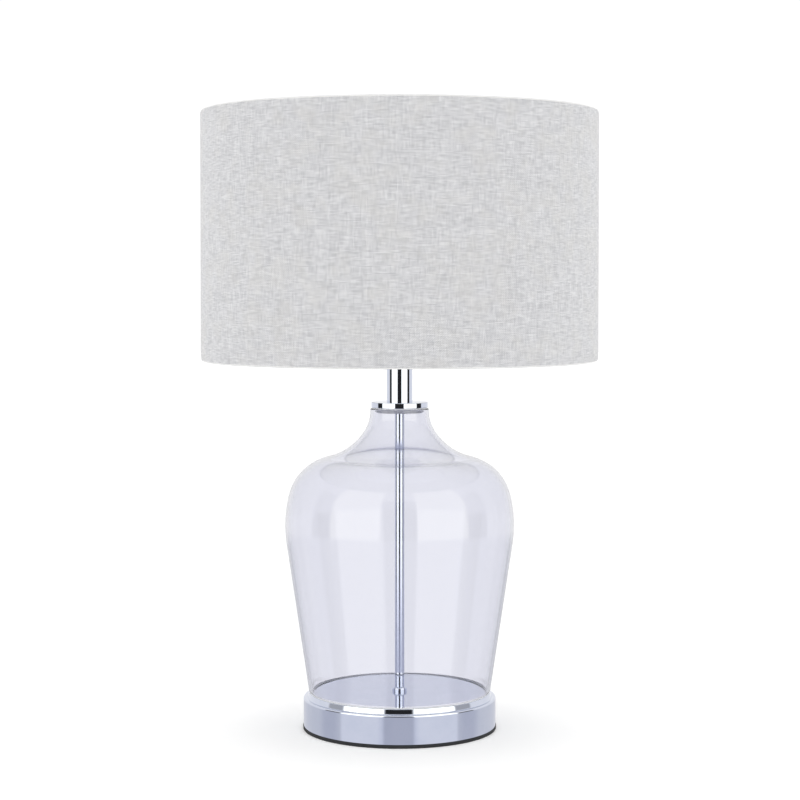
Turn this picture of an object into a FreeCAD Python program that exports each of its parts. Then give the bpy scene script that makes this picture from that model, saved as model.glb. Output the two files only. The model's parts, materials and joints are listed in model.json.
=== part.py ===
"""Table lamp with a clear glass body, a chromed base and a linen drum shade, as a FreeCAD document.

Millimetres, +Z up. The origin is the centre of the underside, where the lamp stands, and +Y is its back.
Every turned part is a sketch of its half section, revolved about Z. The cells of the dims sheet drive
every size, and heights are measured from the table.
"""

import FreeCAD, Part, Sketcher

import math
import os
import re

ORIGIN = FreeCAD.Vector(0, 0, 0)
UP = FreeCAD.Vector(0, 0, 1)

# alias, value in millimetres (degrees for an angle, a plain number for a count), what it is
DIMENSIONS = [
    ("pad_radius", 85.7, "foam pad under the base"),
    ("pad_height", 3.0, "its thickness"),
    ("base_radius", 85.3, "outer wall of the base"),
    ("ledge_height", 28.4, "top of the outer wall"),
    ("step_radius", 81.2, "raised deck that carries the glass"),
    ("deck_height", 33.0, "top of the deck"),
    ("sheet_wall", 1.2, "thickness of the spun steel"),
    ("lip_width", 5.0, "flange turned in at the foot of the wall"),
    ("base_edge", 1.1, "rounding of the deck and the wall"),
    ("fit_gap", 0.05, "clearance of a bore round the rod"),
    ("weight_radius", 76.0, "iron weight in the base"),
    ("weight_height", 10.0, "its thickness"),
    ("channel_width", 13.0, "cable channel in the weight"),
    ("channel_depth", 3.0, "its depth"),
    ("gland_height", 15.0, "centre of the cable gland"),
    ("gland_bore", 3.4, "radius of the cable hole"),
    ("gland_neck", 5.0, "radius where the gland goes through the wall"),
    ("gland_flange", 7.0, "radius of its flanges"),
    ("gland_proud", 3.2, "how far it stands out of the wall"),
    ("gland_inside", 3.0, "how far it reaches into the base"),
    ("rod_radius", 4.2, "central rod"),
    ("rod_bore", 3.15, "wire way through the rod"),
    ("rod_bottom", 12.5, "lower end of the rod"),
    ("rod_top", 330.0, "upper end of the rod"),
    ("washer_radius", 11.0, "washer under the weight"),
    ("washer_height", 1.6, "its thickness"),
    ("tag_height", 0.8, "earth tag"),
    ("tag_radius", 7.5, "its ring"),
    ("tag_width", 5.0, "its tongue"),
    ("tag_reach", 16.0, "how far the tongue reaches from the axis"),
    ("nut_flats", 13.0, "hexagon nuts, across flats"),
    ("nut_height", 5.5, "their thickness"),
    ("seat_radius", 6.4, "round nut on the deck"),
    ("seat_height", 3.7, "its height"),
    ("seat_round", 1.8, "its rounding"),
    ("gasket_height", 0.6, "clear rings above and below the glass"),
    ("foot_radius", 80.5, "glass at its foot"),
    ("glass_wall", 3.0, "thickness of the glass"),
    ("glass_round", 1.3, "rounding of its foot and lip"),
    ("flare_angle", 81.4, "slope of the straight lower wall"),
    ("flare_length", 132.3, "its length"),
    ("belly_radius", 109.8, "arc round the widest part"),
    ("belly_angle", 23.3, "its sweep"),
    ("shoulder_radius", 44.6, "arc over the shoulder"),
    ("shoulder_angle", 62.6, "its sweep"),
    ("neck_radius", 53.7, "hollow arc from shoulder to neck"),
    ("neck_angle", 43.6, "its sweep"),
    ("throat_radius", 33.7, "tighter hollow arc below the lip"),
    ("throat_angle", 33.7, "its sweep"),
    ("lip_height", 285.0, "underside of the collar"),
    ("plug_radius", 22.2, "plug that centres the neck"),
    ("plug_height", 4.6, "its depth"),
    ("plug_round", 3.2, "its rounding below"),
    ("collar_radius", 25.1, "chromed collar"),
    ("collar_height", 5.0, "its thickness"),
    ("collar_edge", 0.5, "its rounding"),
    ("stem_radius", 11.4, "chromed stem"),
    ("stem_wall", 1.2, "its thickness"),
    ("stem_top", 323.0, "upper end of the stem"),
    ("cap_radius", 20.5, "lower cap of the lampholder"),
    ("cap_waist", 13.0, "its lower face"),
    ("cap_slope", 7.0, "height of its cone"),
    ("cap_wall", 3.0, "its thickness"),
    ("cap_top", 341.0, "its upper edge"),
    ("boss_radius", 8.0, "boss that the rod screws into"),
    ("boss_height", 7.5, "its height"),
    ("flange_radius", 24.0, "lampholder flange that the shade sits on"),
    ("flange_top", 344.0, "its upper face"),
    ("thread_radius", 20.0, "outside thread of the lampholder"),
    ("thread_depth", 0.8, "its depth"),
    ("thread_pitch", 2.8, "its pitch"),
    ("sleeve_bore", 17.9, "inside of the lampholder sleeve"),
    ("mouth_height", 386.0, "mouth of the lampholder"),
    ("mouth_radius", 15.4, "its opening"),
    ("block_radius", 17.85, "contact block"),
    ("block_top", 358.0, "its seat for the screw shell"),
    ("skirt_radius", 16.6, "its upstanding skirt"),
    ("skirt_wall", 2.0, "thickness of the skirt"),
    ("skirt_top", 383.0, "top of the skirt"),
    ("shell_radius", 14.2, "screw shell"),
    ("shell_wall", 0.5, "its thickness"),
    ("contact_width", 6.0, "centre contact, a bent strip"),
    ("contact_rise", 3.0, "height of its tip above the block"),
    ("contact_reach", 9.0, "from the axis to its foot"),
    ("contact_wall", 0.5, "its thickness"),
    ("terminal_offset", 6.0, "terminal screws, across"),
    ("terminal_back", 3.5, "terminal screws, towards the front"),
    ("terminal_radius", 2.6, "their heads"),
    ("terminal_height", 2.0, "height of a head"),
    ("bar_radius", 2.5, "push bar of the switch"),
    ("bar_length", 52.0, "its length"),
    ("bar_travel", 4.5, "its travel"),
    ("bar_back", 9.5, "its axis, behind the lamp's axis"),
    ("bar_height", 335.5, "its axis above the table"),
    ("bar_gap", 0.3, "clearance round the bar"),
    ("switch_length", 15.0, "switch housing, along the bar"),
    ("switch_width", 9.0, "switch housing, across the bar"),
    ("switch_height", 9.5, "switch housing, upright"),
    ("switch_drop", 4.0, "its bore above its underside"),
    ("fitter_bore", 20.6, "shade fitter, hole"),
    ("fitter_radius", 27.0, "shade fitter, outside"),
    ("fitter_height", 1.2, "shade fitter, thickness"),
    ("ring_radius", 26.0, "shade ring, grip"),
    ("ring_flange", 28.5, "shade ring, flange"),
    ("ring_bore", 20.05, "shade ring, bore"),
    ("ring_height", 8.0, "shade ring, height"),
    ("rib_radius", 1.2, "grip ribs"),
    ("rib_count", 18, "how many"),
    ("shade_radius", 175.0, "outside of the shade"),
    ("shade_bottom", 326.2, "lower edge of the shade"),
    ("shade_height", 220.0, "height of the shade"),
    ("cloth_wall", 0.7, "fabric"),
    ("hem_width", 5.2, "fabric turned in over a ring"),
    ("hem_height", 3.2, "height of the hem inside"),
    ("liner_wall", 0.5, "stiff white liner"),
    ("wire_radius", 1.5, "wire of the rings"),
    ("wire_circle", 172.1, "centre circle of the rings"),
    ("arm_count", 3, "arms of the frame"),
    ("arm_radius", 1.25, "wire of the arms"),
    ("arm_bend", 160.0, "where an arm bends down to the ring"),
    ("arm_drop", 7.2, "fall of an arm from the fitter to that bend"),
    ("arm_foot", 5.0, "upright foot of an arm on the lower ring"),
    ("bulb_pitch", 3.629, "pitch of the screw cap"),
    ("tip_radius", 4.8, "contact button of the bulb"),
    ("tip_height", 1.4, "its height"),
    ("insulator_radius", 9.0, "black insulator above the button"),
    ("insulator_height", 4.0, "its height"),
    ("bulb_cap_radius", 13.1, "crest of the screw cap"),
    ("bulb_cap_height", 21.0, "its height"),
    ("bulb_cap_depth", 0.7, "depth of its thread"),
    ("housing_radius", 29.2, "widest part of the plastic housing"),
    ("housing_height", 38.0, "its height"),
    ("globe_radius", 29.8, "opal globe"),
    ("globe_collar", 8.0, "straight part of the globe"),
    ("globe_wall", 1.2, "its thickness"),
    ("block_length", 30.0, "terminal block, across"),
    ("block_depth", 16.0, "terminal block, front to back"),
    ("block_height", 11.5, "terminal block, upright"),
    ("block_back", 44.0, "its centre, behind the axis"),
    ("way_pitch", 9.6, "spacing of its ways"),
    ("way_radius", 1.9, "radius of a way"),
    ("screw_radius", 1.7, "radius of its screws"),
    ("screw_proud", 1.0, "how far a screw stands out"),
    ("lead_radius", 1.1, "insulated single leads"),
    ("lead_offset", 1.3, "a lead from the axis, in the rod"),
    ("lead_low", 5.0, "lowest run of the leads"),
    ("lead_bend", 7.0, "bends of the leads in the base"),
    ("lead_rise", 6.4, "bends between the rod and the lampholder"),
    ("earth_bend", 20.0, "bends of the earth lead"),
]

doc = FreeCAD.newDocument("table_lamp")
dims = doc.addObject("Spreadsheet::Sheet", "dims")
ALIASES = set()
for row, (alias, value, note) in enumerate(DIMENSIONS, start=1):
    dims.set(f"A{row}", alias)
    dims.set(f"B{row}", str(value))
    dims.set(f"C{row}", note)
    dims.setAlias(f"B{row}", alias)
    ALIASES.add(alias)
doc.recompute()

NODES = []


def number(text):
    """What an expression in the sheet's aliases comes to."""
    return float(dims.evalExpression(str(text)))


def linked(text):
    """The same expression as another object has to write it."""
    return re.sub(r"[a-z_]+", lambda m: f"dims.{m[0]}" if m[0] in ALIASES else m[0], str(text))


def keep(made, label):
    """Names a finished sub-part, which is written to its own file."""
    made.Label = label
    NODES.append(made)
    return made


def new_body(label):
    return keep(doc.addObject("PartDesign::Body", label), label)


def origin_plane(body, role):
    return next(f for f in body.Origin.OriginFeatures if f.Role == role)


def new_sketch(body, role):
    sketch = body.newObject("Sketcher::SketchObject", "sketch")
    sketch.AttachmentSupport = [(origin_plane(body, role), "")]
    sketch.MapMode = "FlatFace"
    return sketch


def bind(sketch, constraint, expression):
    """Adds a constraint and drives its value from the sheet."""
    index = sketch.addConstraint(constraint)
    sketch.setExpression(f"Constraints[{index}]", linked(expression))


def pin(sketch, edge, end, across, up):
    """Holds a point of the sketch at two expressions from the sketch's origin."""
    for kind, axis, text in (("DistanceX", -2, across), ("DistanceY", -1, up)):
        if number(text) == 0:
            sketch.addConstraint(Sketcher.Constraint("PointOnObject", edge, end, axis))
        else:
            bind(sketch, Sketcher.Constraint(kind, -1, 1, edge, end, number(text)), text)


def arc_between(start, end, radius):
    """The shorter arc from start to end. A positive radius bends left of the way, a negative one right."""
    half = (end - start) / 2
    left = UP.cross(half).normalize()
    rise = math.sqrt(radius * radius - half.Length**2)
    centre = start + half + left * math.copysign(rise, radius)
    ends = [math.atan2(p.y - centre.y, p.x - centre.x) for p in (start, end)]
    if radius < 0:
        ends.reverse()
    return Part.ArcOfCircle(Part.Circle(centre, UP, abs(radius)), *ends)


def outline(sketch, points, arcs=()):
    """A closed outline through points, each a pair of expressions. arcs maps the number of an edge that is
    an arc to its radius, positive where it turns left."""
    arcs = dict(arcs)
    places = [FreeCAD.Vector(number(x), number(y), 0) for x, y in points]
    ends = []
    for i, start in enumerate(places):
        end = places[(i + 1) % len(places)]
        if i not in arcs:
            sketch.addGeometry(Part.LineSegment(start, end))
            ends.append((1, 2))
            continue
        radius = number(arcs[i])
        edge = sketch.addGeometry(arc_between(start, end, radius))
        ends.append((1, 2) if radius > 0 else (2, 1))
        size = str(arcs[i]).lstrip("-")
        bind(sketch, Sketcher.Constraint("Radius", edge, abs(radius)), size)
    for i, point in enumerate(points):
        following = (i + 1) % len(points)
        sketch.addConstraint(
            Sketcher.Constraint("Coincident", i, ends[i][1], following, ends[following][0])
        )
        pin(sketch, i, ends[i][0], *point)


def polyline(sketch, points):
    """An open run of straight lines through points."""
    places = [FreeCAD.Vector(number(x), number(y), 0) for x, y in points]
    for i, (start, end) in enumerate(zip(places, places[1:])):
        sketch.addGeometry(Part.LineSegment(start, end))
        pin(sketch, i, 1, *points[i])
        if i:
            sketch.addConstraint(Sketcher.Constraint("Coincident", i - 1, 2, i, 1))
    pin(sketch, len(places) - 2, 2, *points[-1])


def circle(sketch, across, up, radius):
    centre = FreeCAD.Vector(number(across), number(up), 0)
    edge = sketch.addGeometry(Part.Circle(centre, UP, number(radius)))
    bind(sketch, Sketcher.Constraint("Radius", edge, number(radius)), radius)
    pin(sketch, edge, 3, across, up)


def revolve(body, points, arcs=(), kind="Revolution"):
    """A half section turned right round the body's Z axis, as a solid or as a groove."""
    sketch = new_sketch(body, "XZ_Plane")
    outline(sketch, points, arcs)
    turned = body.newObject(f"PartDesign::{kind}", kind.lower())
    turned.Profile = sketch
    turned.ReferenceAxis = (sketch, ["V_Axis"])
    turned.Angle = 360
    doc.recompute()
    return turned


def turned_part(label, points, arcs=()):
    body = new_body(label)
    revolve(body, points, arcs)
    return body


def ring_part(label, bore, radius, bottom, top):
    """A plain ring or tube of rectangular section."""
    return turned_part(label, [(bore, bottom), (radius, bottom), (radius, top), (bore, top)])


def extrude(body, role, draw, length, kind="Pad", both_ways=False, backwards=False):
    """Pads or pockets what draw puts in a sketch. A pocket that cuts nothing is turned round."""
    sketch = new_sketch(body, role)
    draw(sketch)
    made = body.newObject(f"PartDesign::{kind}", kind.lower())
    made.Profile = sketch
    made.setExpression("Length", linked(length))
    made.Midplane = both_ways
    made.Reversed = backwards
    doc.recompute()
    return made


def cut(body, role, draw, length, both_ways=False, backwards=False):
    """A pocket, which has to take something away."""
    before = body.Shape.Volume
    made = extrude(body, role, draw, length, "Pocket", both_ways, backwards)
    if body.Shape.Volume > before - 1e-3:
        raise RuntimeError(f"{body.Label}: a pocket cuts nothing")
    return made


def lift(body, across=0, back=0, up=0):
    """Moves a finished body to a place given by expressions."""
    for axis, text in zip("xyz", (across, back, up)):
        if str(text) != "0":
            body.setExpression(f".Placement.Base.{axis}", linked(text))


def circles_at(shape, places):
    """The names of the circular edges about Z with these radii and heights."""
    found = []
    for i, edge in enumerate(shape.Edges, start=1):
        if not isinstance(edge.Curve, Part.Circle):
            continue
        about_z = math.hypot(edge.Curve.Center.x, edge.Curve.Center.y) < 1e-6
        here = (edge.Curve.Radius, edge.Curve.Center.z)
        if about_z and any(math.dist(here, p) < 1e-4 for p in places):
            found.append(f"Edge{i}")
    return found


def round_off(body, places, radius):
    """Fillets circular edges, each given by two expressions: its radius and its height."""
    names = circles_at(body.Shape, [(number(r), number(z)) for r, z in places])
    if len(names) != len(places):
        raise RuntimeError(f"{body.Label}: found {len(names)} edges of {len(places)} to round")
    base = body.Tip
    fillet = body.newObject("PartDesign::Fillet", "fillet")
    fillet.Base = (base, names)
    fillet.setExpression("Radius", linked(radius))
    doc.recompute()


def polar(body, feature, count):
    """Repeats a feature round the body's Z axis."""
    pattern = body.newObject("PartDesign::PolarPattern", "pattern")
    pattern.Originals = [feature]
    pattern.Axis = (origin_plane(body, "Z_Axis"), [""])
    pattern.Angle = 360
    pattern.setExpression("Occurrences", linked(count))
    body.Tip = pattern
    doc.recompute()


def ridges(crest, root, bottom, top, count):
    """Points up a thread's section: crests and roots at equal steps from bottom to top."""
    points = []
    for i in range(1, 2 * count):
        radius = crest if i % 2 else root
        points.append((radius, f"{bottom} + ({top} - ({bottom})) * {i} / {2 * count}"))
    return points


def hexagon(sketch, flats):
    """A hexagon of this size across flats, its first corner on the X axis."""
    corners = [(f"{flats} / sqrt(3) * cos({60 * i})", f"{flats} / 2 * {side}")
               for i, side in enumerate((0, 1, 1, 0, -1, -1))]
    outline(sketch, corners)


def nut(label, bottom):
    body = new_body(label)
    extrude(body, "XY_Plane", lambda s: hexagon(s, "nut_flats"), "nut_height")
    cut(body, "XY_Plane", lambda s: circle(s, "0", "0", "rod_radius + fit_gap"), "nut_height", backwards=True)
    lift(body, up=bottom)


def rectangle(sketch, left, right, low, high):
    outline(sketch, [(left, low), (right, low), (right, high), (left, high)])


# ---- base -------------------------------------------------------------------------------------------

DECK_UNDERSIDE = "deck_height - sheet_wall"
WEIGHT_BOTTOM = "deck_height - sheet_wall - weight_height"
ROD_HOLE = "rod_radius + fit_gap"


def base_pad():
    body = new_body("base_pad")
    extrude(body, "XY_Plane", lambda s: circle(s, "0", "0", "pad_radius"), "pad_height")
    round_off(body, [("pad_radius", "0")], "pad_height / 4")


def base_shell():
    """Spun from sheet: a wall with a flange turned in at its foot, a ledge, and the raised deck."""
    inner = "base_radius - sheet_wall"
    lip = "base_radius - lip_width"
    body = turned_part("base_shell", [
        (lip, "pad_height"),
        ("base_radius", "pad_height"),
        ("base_radius", "ledge_height"),
        ("step_radius", "ledge_height"),
        ("step_radius", "deck_height"),
        (ROD_HOLE, "deck_height"),
        (ROD_HOLE, DECK_UNDERSIDE),
        ("step_radius - sheet_wall", DECK_UNDERSIDE),
        ("step_radius - sheet_wall", "ledge_height - sheet_wall"),
        (inner, "ledge_height - sheet_wall"),
        (inner, "pad_height + sheet_wall"),
        (lip, "pad_height + sheet_wall"),
    ])
    round_off(body, [("base_radius", "ledge_height"), ("step_radius", "deck_height")], "base_edge")
    round_off(body, [("step_radius", "ledge_height")], "base_edge / 2")
    cut(body, "XZ_Plane", lambda s: circle(s, "0", "gland_height", "gland_neck + fit_gap"),
        "base_radius + 1")


def base_weight():
    body = new_body("base_weight")
    extrude(body, "XY_Plane", lambda s: circle(s, "0", "0", "weight_radius"), "weight_height")
    cut(body, "XY_Plane", lambda s: circle(s, "0", "0", ROD_HOLE), "weight_height", backwards=True)
    half = "channel_width / 2"
    cut(body, "XY_Plane", lambda s: rectangle(s, f"-{half}", half, "washer_radius + 1", "weight_radius + 1"),
        "channel_depth", backwards=True)
    lift(body, up=WEIGHT_BOTTOM)


def cord_gland():
    """A grommet, turned about its own axis and laid through the back wall."""
    wall = "sheet_wall + 0.3"
    body = turned_part("cord_gland", [
        ("gland_bore", f"-({wall}) - gland_inside"),
        ("gland_flange - 0.6", f"-({wall}) - gland_inside"),
        ("gland_flange - 0.6", f"-({wall})"),
        ("gland_neck", f"-({wall})"),
        ("gland_neck", "0"),
        ("gland_flange", "0"),
        ("gland_flange", "gland_proud"),
        ("gland_bore", "gland_proud"),
    ])
    round_off(body, [("gland_flange", "gland_proud")], "gland_proud / 2")
    round_off(body, [("gland_bore", "gland_proud")], "gland_proud / 4")
    body.Placement = FreeCAD.Placement(ORIGIN, FreeCAD.Rotation(FreeCAD.Vector(1, 0, 0), -90))
    lift(body, back="base_radius + fit_gap", up="gland_height")


def base_fixings():
    """What clamps the base to the rod: washer, earth tag and nut below, round seat nut above."""
    tag_top = f"{WEIGHT_BOTTOM} - washer_height"
    ring_part("bottom_washer", ROD_HOLE, "washer_radius", tag_top, WEIGHT_BOTTOM)
    tag = new_body("earth_tag")
    extrude(tag, "XY_Plane", lambda s: circle(s, "0", "0", "tag_radius"), "tag_height")
    half = "tag_width / 2"
    extrude(tag, "XY_Plane",
            lambda s: rectangle(s, f"-{half}", half, "tag_radius - 2", "tag_reach"), "tag_height")
    cut(tag, "XY_Plane", lambda s: circle(s, "0", "0", ROD_HOLE), "tag_height", backwards=True)
    lift(tag, up=f"{tag_top} - tag_height")
    nut("bottom_nut", f"{tag_top} - tag_height - nut_height")
    seat = ring_part("seat_nut", ROD_HOLE, "seat_radius", "deck_height", "deck_height + seat_height")
    round_off(seat, [("seat_radius", "deck_height + seat_height")], "seat_round")


def base_parts():
    base_pad()
    base_shell()
    base_weight()
    cord_gland()
    base_fixings()


# ---- rod and glass ----------------------------------------------------------------------------------


def glass_chain(sketch, inset, start_height, end_height):
    """One wall of the glass, from foot to lip, as a straight flare and four tangent arcs, closed along the
    axis. inset is how far it lies inside the outer wall."""
    slope = "flare_angle"
    sweeps = [("belly_radius", "belly_angle", 1), ("shoulder_radius", "shoulder_angle", 1),
              ("neck_radius", "neck_angle", -1), ("throat_radius", "throat_angle", -1)]
    heading = math.radians(number(slope))
    run = FreeCAD.Vector(math.cos(heading), math.sin(heading), 0)
    foot = FreeCAD.Vector(number("foot_radius"), number("deck_height + gasket_height"), 0)
    foot += UP.cross(run) * number(inset)
    rise = (number(start_height) - foot.y) / run.y
    at = foot + run * number("flare_length")
    low = foot + run * rise
    flare = sketch.addGeometry(Part.LineSegment(low, at))
    bind(sketch, Sketcher.Constraint("Angle", flare, heading), f"{slope} * 1deg")
    chain = [(flare, 2)]
    for radius, sweep, side in sweeps:
        own = f"{radius} - {inset}" if side > 0 else f"{radius} + {inset}"
        bend = math.radians(number(sweep)) * side
        left = FreeCAD.Vector(-math.sin(heading), math.cos(heading), 0) * side
        centre = at + left * number(own)
        heading += bend
        outward = FreeCAD.Vector(math.sin(heading), -math.cos(heading), 0) * side
        following = centre + outward * number(own)
        edge = sketch.addGeometry(arc_between(at, following, number(own) * side))
        first, last = (1, 2) if side > 0 else (2, 1)
        sketch.addConstraint(Sketcher.Constraint("Tangent", chain[-1][0], chain[-1][1], edge, first))
        bind(sketch, Sketcher.Constraint("Radius", edge, number(own)), own)
        bind(sketch, Sketcher.Constraint("Angle", edge, abs(bend)), f"{sweep} * 1deg")
        chain.append((edge, last))
        at = following
    corners = [at, FreeCAD.Vector(at.x, number(end_height), 0),
               FreeCAD.Vector(0, number(end_height), 0), FreeCAD.Vector(0, low.y, 0), low]
    previous = chain[-1]
    closing = []
    for start, end in zip(corners, corners[1:]):
        edge = sketch.addGeometry(Part.LineSegment(start, end))
        sketch.addConstraint(Sketcher.Constraint("Coincident", previous[0], previous[1], edge, 1))
        closing.append(edge)
        previous = (edge, 2)
    sketch.addConstraint(Sketcher.Constraint("Coincident", previous[0], previous[1], flare, 1))
    lip, top, axis, bottom = closing
    for edge, kind in ((lip, "Vertical"), (top, "Horizontal"), (axis, "Vertical"), (bottom, "Horizontal")):
        sketch.addConstraint(Sketcher.Constraint(kind, edge))
    pin(sketch, axis, 1, "0", end_height)
    pin(sketch, flare, 1,
        f"foot_radius - ({inset}) * sin(flare_angle) + "
        f"({start_height} - deck_height - gasket_height - ({inset}) * cos(flare_angle)) / tan(flare_angle)",
        start_height)
    bind(sketch, Sketcher.Constraint("DistanceY", flare, 2, -1, 1, -number(
        "deck_height + gasket_height + flare_length * sin(flare_angle)") - number(inset) * run.x),
        f"-(deck_height + gasket_height + flare_length * sin(flare_angle) + ({inset}) * cos(flare_angle))")


def glass_body():
    """Blown clear glass: a bell that flares from its foot to the shoulder and draws in to the neck."""
    body = new_body("glass_body")
    bottom = "deck_height + gasket_height"
    top = "lip_height - gasket_height"
    sketch = new_sketch(body, "XZ_Plane")
    glass_chain(sketch, "0", bottom, top)
    turned = body.newObject("PartDesign::Revolution", "outside")
    turned.Profile = sketch
    turned.ReferenceAxis = (sketch, ["V_Axis"])
    doc.recompute()
    sketch = new_sketch(body, "XZ_Plane")
    glass_chain(sketch, "glass_wall", bottom, f"{top} + 1")
    hollow = body.newObject("PartDesign::Groove", "inside")
    hollow.Profile = sketch
    hollow.ReferenceAxis = (sketch, ["V_Axis"])
    doc.recompute()
    ends = [e for e in body.Shape.Edges if isinstance(e.Curve, Part.Circle)
            and min(abs(e.Curve.Center.z - number(z)) for z in (bottom, top)) < 1e-4]
    places = [(e.Curve.Radius, e.Curve.Center.z) for e in ends]
    round_off(body, places, "glass_round")
    return body


def rod_and_neck():
    ring_part("rod", "rod_bore", "rod_radius", "rod_bottom", "rod_top")
    inner = "foot_radius - glass_wall"
    ring_part("foot_gasket", inner, "foot_radius - 0.4", "deck_height", "deck_height + gasket_height")
    plug = ring_part("neck_plug", ROD_HOLE, "plug_radius", "lip_height - plug_height", "lip_height")
    round_off(plug, [("plug_radius", "lip_height - plug_height")], "plug_round")
    ring_part("neck_gasket", "plug_radius + 0.1", "collar_radius - 0.4",
              "lip_height - gasket_height", "lip_height")
    top = "lip_height + collar_height"
    collar = ring_part("collar", ROD_HOLE, "collar_radius", "lip_height", top)
    round_off(collar, [("collar_radius", top), ("collar_radius", "lip_height")], "collar_edge")
    ring_part("stem_washer", ROD_HOLE, "stem_radius - stem_wall - 1.5", top, f"{top} + washer_height")
    nut("stem_nut", f"{top} + washer_height")
    ring_part("stem_tube", "stem_radius - stem_wall", "stem_radius", top, "stem_top")


# ---- lampholder -------------------------------------------------------------------------------------


def holder_cap():
    """The lower cap, with the boss that takes the rod and the cross hole for the push bar."""
    inner = "cap_radius - cap_wall"
    floor = "stem_top + cap_wall"
    body = turned_part("holder_cap", [
        (ROD_HOLE, "stem_top"),
        ("cap_waist", "stem_top"),
        ("cap_radius", "stem_top + cap_slope"),
        ("cap_radius", "cap_top"),
        (inner, "cap_top"),
        (inner, f"{floor} + cap_slope"),
        ("cap_waist - cap_wall / 2", floor),
        ("boss_radius", floor),
        ("boss_radius", "stem_top + boss_height"),
        (ROD_HOLE, "stem_top + boss_height"),
    ])
    round_off(body, [("cap_radius", "stem_top + cap_slope"), ("cap_waist", "stem_top")], "cap_wall / 2")
    cut(body, "YZ_Plane", lambda s: circle(s, "bar_back", "bar_height", "bar_radius + bar_gap"),
        "cap_radius * 2 + 2", both_ways=True)


def holder_body():
    """The sleeve, with the flange that the shade sits on and the outside thread above it."""
    root = "thread_radius - thread_depth"
    start = "flange_top + ring_height / 4"
    turns = round((number("mouth_height") - number(start)) / number("thread_pitch"))
    turned_part("holder_body", [
        ("sleeve_bore", "cap_top"),
        ("flange_radius", "cap_top"),
        ("flange_radius", "flange_top"),
        (root, "flange_top"),
        (root, start),
        *ridges("thread_radius", root, start, "mouth_height", turns),
        (root, "mouth_height"),
        ("mouth_radius", "mouth_height"),
        ("mouth_radius", "skirt_top + 0.4"),
        ("sleeve_bore", "skirt_top + 0.4"),
    ])


def contact_block():
    """The insulating block, with its skirt round the screw shell and a way through it for each terminal."""
    body = turned_part("contact_block", [
        ("0", "cap_top"),
        ("block_radius", "cap_top"),
        ("block_radius", "block_top - 1"),
        ("skirt_radius", "block_top - 1"),
        ("skirt_radius", "skirt_top"),
        ("skirt_radius - skirt_wall", "skirt_top"),
        ("skirt_radius - skirt_wall", "block_top"),
        ("0", "block_top"),
    ])
    for side in ("", "-"):
        cut(body, "XY_Plane",
            lambda s: circle(s, f"{side}terminal_offset", "-terminal_back", "terminal_radius + 0.3"),
            "cap_top + terminal_height", backwards=True)


def screw_shell():
    """Thin brass shell with a rolled thread."""
    bottom, top = "block_top", "skirt_top - 1"
    inner = "shell_radius - shell_wall"
    turns = round((number(top) - number(bottom)) / number("bulb_pitch"))
    outside = ridges("shell_radius", "shell_radius - 0.3", bottom, top, turns)
    inside = ridges(inner, f"{inner} - 0.3", bottom, top, turns)
    turned_part("screw_shell", [
        (f"{inner} - 0.3", bottom),
        ("shell_radius - 0.3", bottom),
        *outside,
        ("shell_radius - 0.3", top),
        (f"{inner} - 0.3", top),
        *reversed(inside),
    ])


def centre_contact():
    """A bent brass strip that rises from the block to the axis."""
    body = new_body("centre_contact")
    foot, tip = "-contact_reach", "block_top + contact_rise"
    points = [
        (foot, "block_top"), ("-contact_reach / 2", "block_top"), ("-1", f"{tip} - contact_wall"),
        ("3", f"{tip} - contact_wall"), ("3", tip), ("-1.3", tip),
        ("-contact_reach / 2 - 0.3", "block_top + contact_wall"), (foot, "block_top + contact_wall"),
    ]
    extrude(body, "XZ_Plane", lambda s: outline(s, points), "contact_width", both_ways=True)


def grouped(label, solids):
    """Identical fasteners share one node, as separate solids."""
    group = doc.addObject("Part::Compound", label)
    group.Links = solids
    keep(group, label)


def slotted_screw(name, radius, height, across, back, up):
    """A short screw head with a cross slot, pointing down."""
    head = doc.addObject("Part::Cylinder", f"{name}_head")
    head.setExpression("Radius", linked(radius))
    head.setExpression("Height", linked(height))
    slot = doc.addObject("Part::Box", f"{name}_slot")
    slot.setExpression("Length", linked(f"({radius}) * 2.4"))
    slot.setExpression("Width", linked(f"({radius}) * 0.4"))
    slot.setExpression("Height", linked(f"({height}) * 0.4"))
    slot.setExpression(".Placement.Base.x", linked(f"-({radius}) * 1.2"))
    slot.setExpression(".Placement.Base.y", linked(f"-({radius}) * 0.2"))
    screw = doc.addObject("Part::Cut", name)
    screw.Base = head
    screw.Tool = slot
    for axis, text in zip("xyz", (across, back, up)):
        screw.setExpression(f".Placement.Base.{axis}", linked(text))
    return screw


def terminal_screws():
    screws = [
        slotted_screw(f"terminal_screw_{i}", "terminal_radius", "terminal_height",
                      f"{side}terminal_offset", "-terminal_back", "cap_top")
        for i, side in enumerate(("", "-"))
    ]
    grouped("terminal_screws", screws)


def push_switch():
    """The bar slides through the cap from side to side. It stands out further on one side at rest."""
    box = new_body("switch_block")
    along, aside = "switch_length / 2", "switch_width / 2"
    extrude(box, "XY_Plane",
            lambda s: rectangle(s, f"-{along}", along, f"-{aside}", aside), "switch_height")
    cut(box, "YZ_Plane",
        lambda s: circle(s, "0", "switch_drop", "bar_radius + bar_gap"), "switch_length + 2", both_ways=True)
    lift(box, back="bar_back", up="bar_height - switch_drop")
    half = "bar_length / 2"
    bar = turned_part("switch_bar", [
        ("0", f"-{half}"), ("bar_radius", f"-{half}"), ("bar_radius", "-3"), ("bar_radius - 0.8", "-2"),
        ("bar_radius - 0.8", "2"), ("bar_radius", "3"), ("bar_radius", half), ("0", half),
    ])
    round_off(bar, [("bar_radius", half), ("bar_radius", f"-{half}")], "bar_radius / 2")
    bar.Placement = FreeCAD.Placement(ORIGIN, FreeCAD.Rotation(FreeCAD.Vector(0, 1, 0), 90))
    lift(bar, across="-bar_travel / 2", back="bar_back", up="bar_height")


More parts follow.
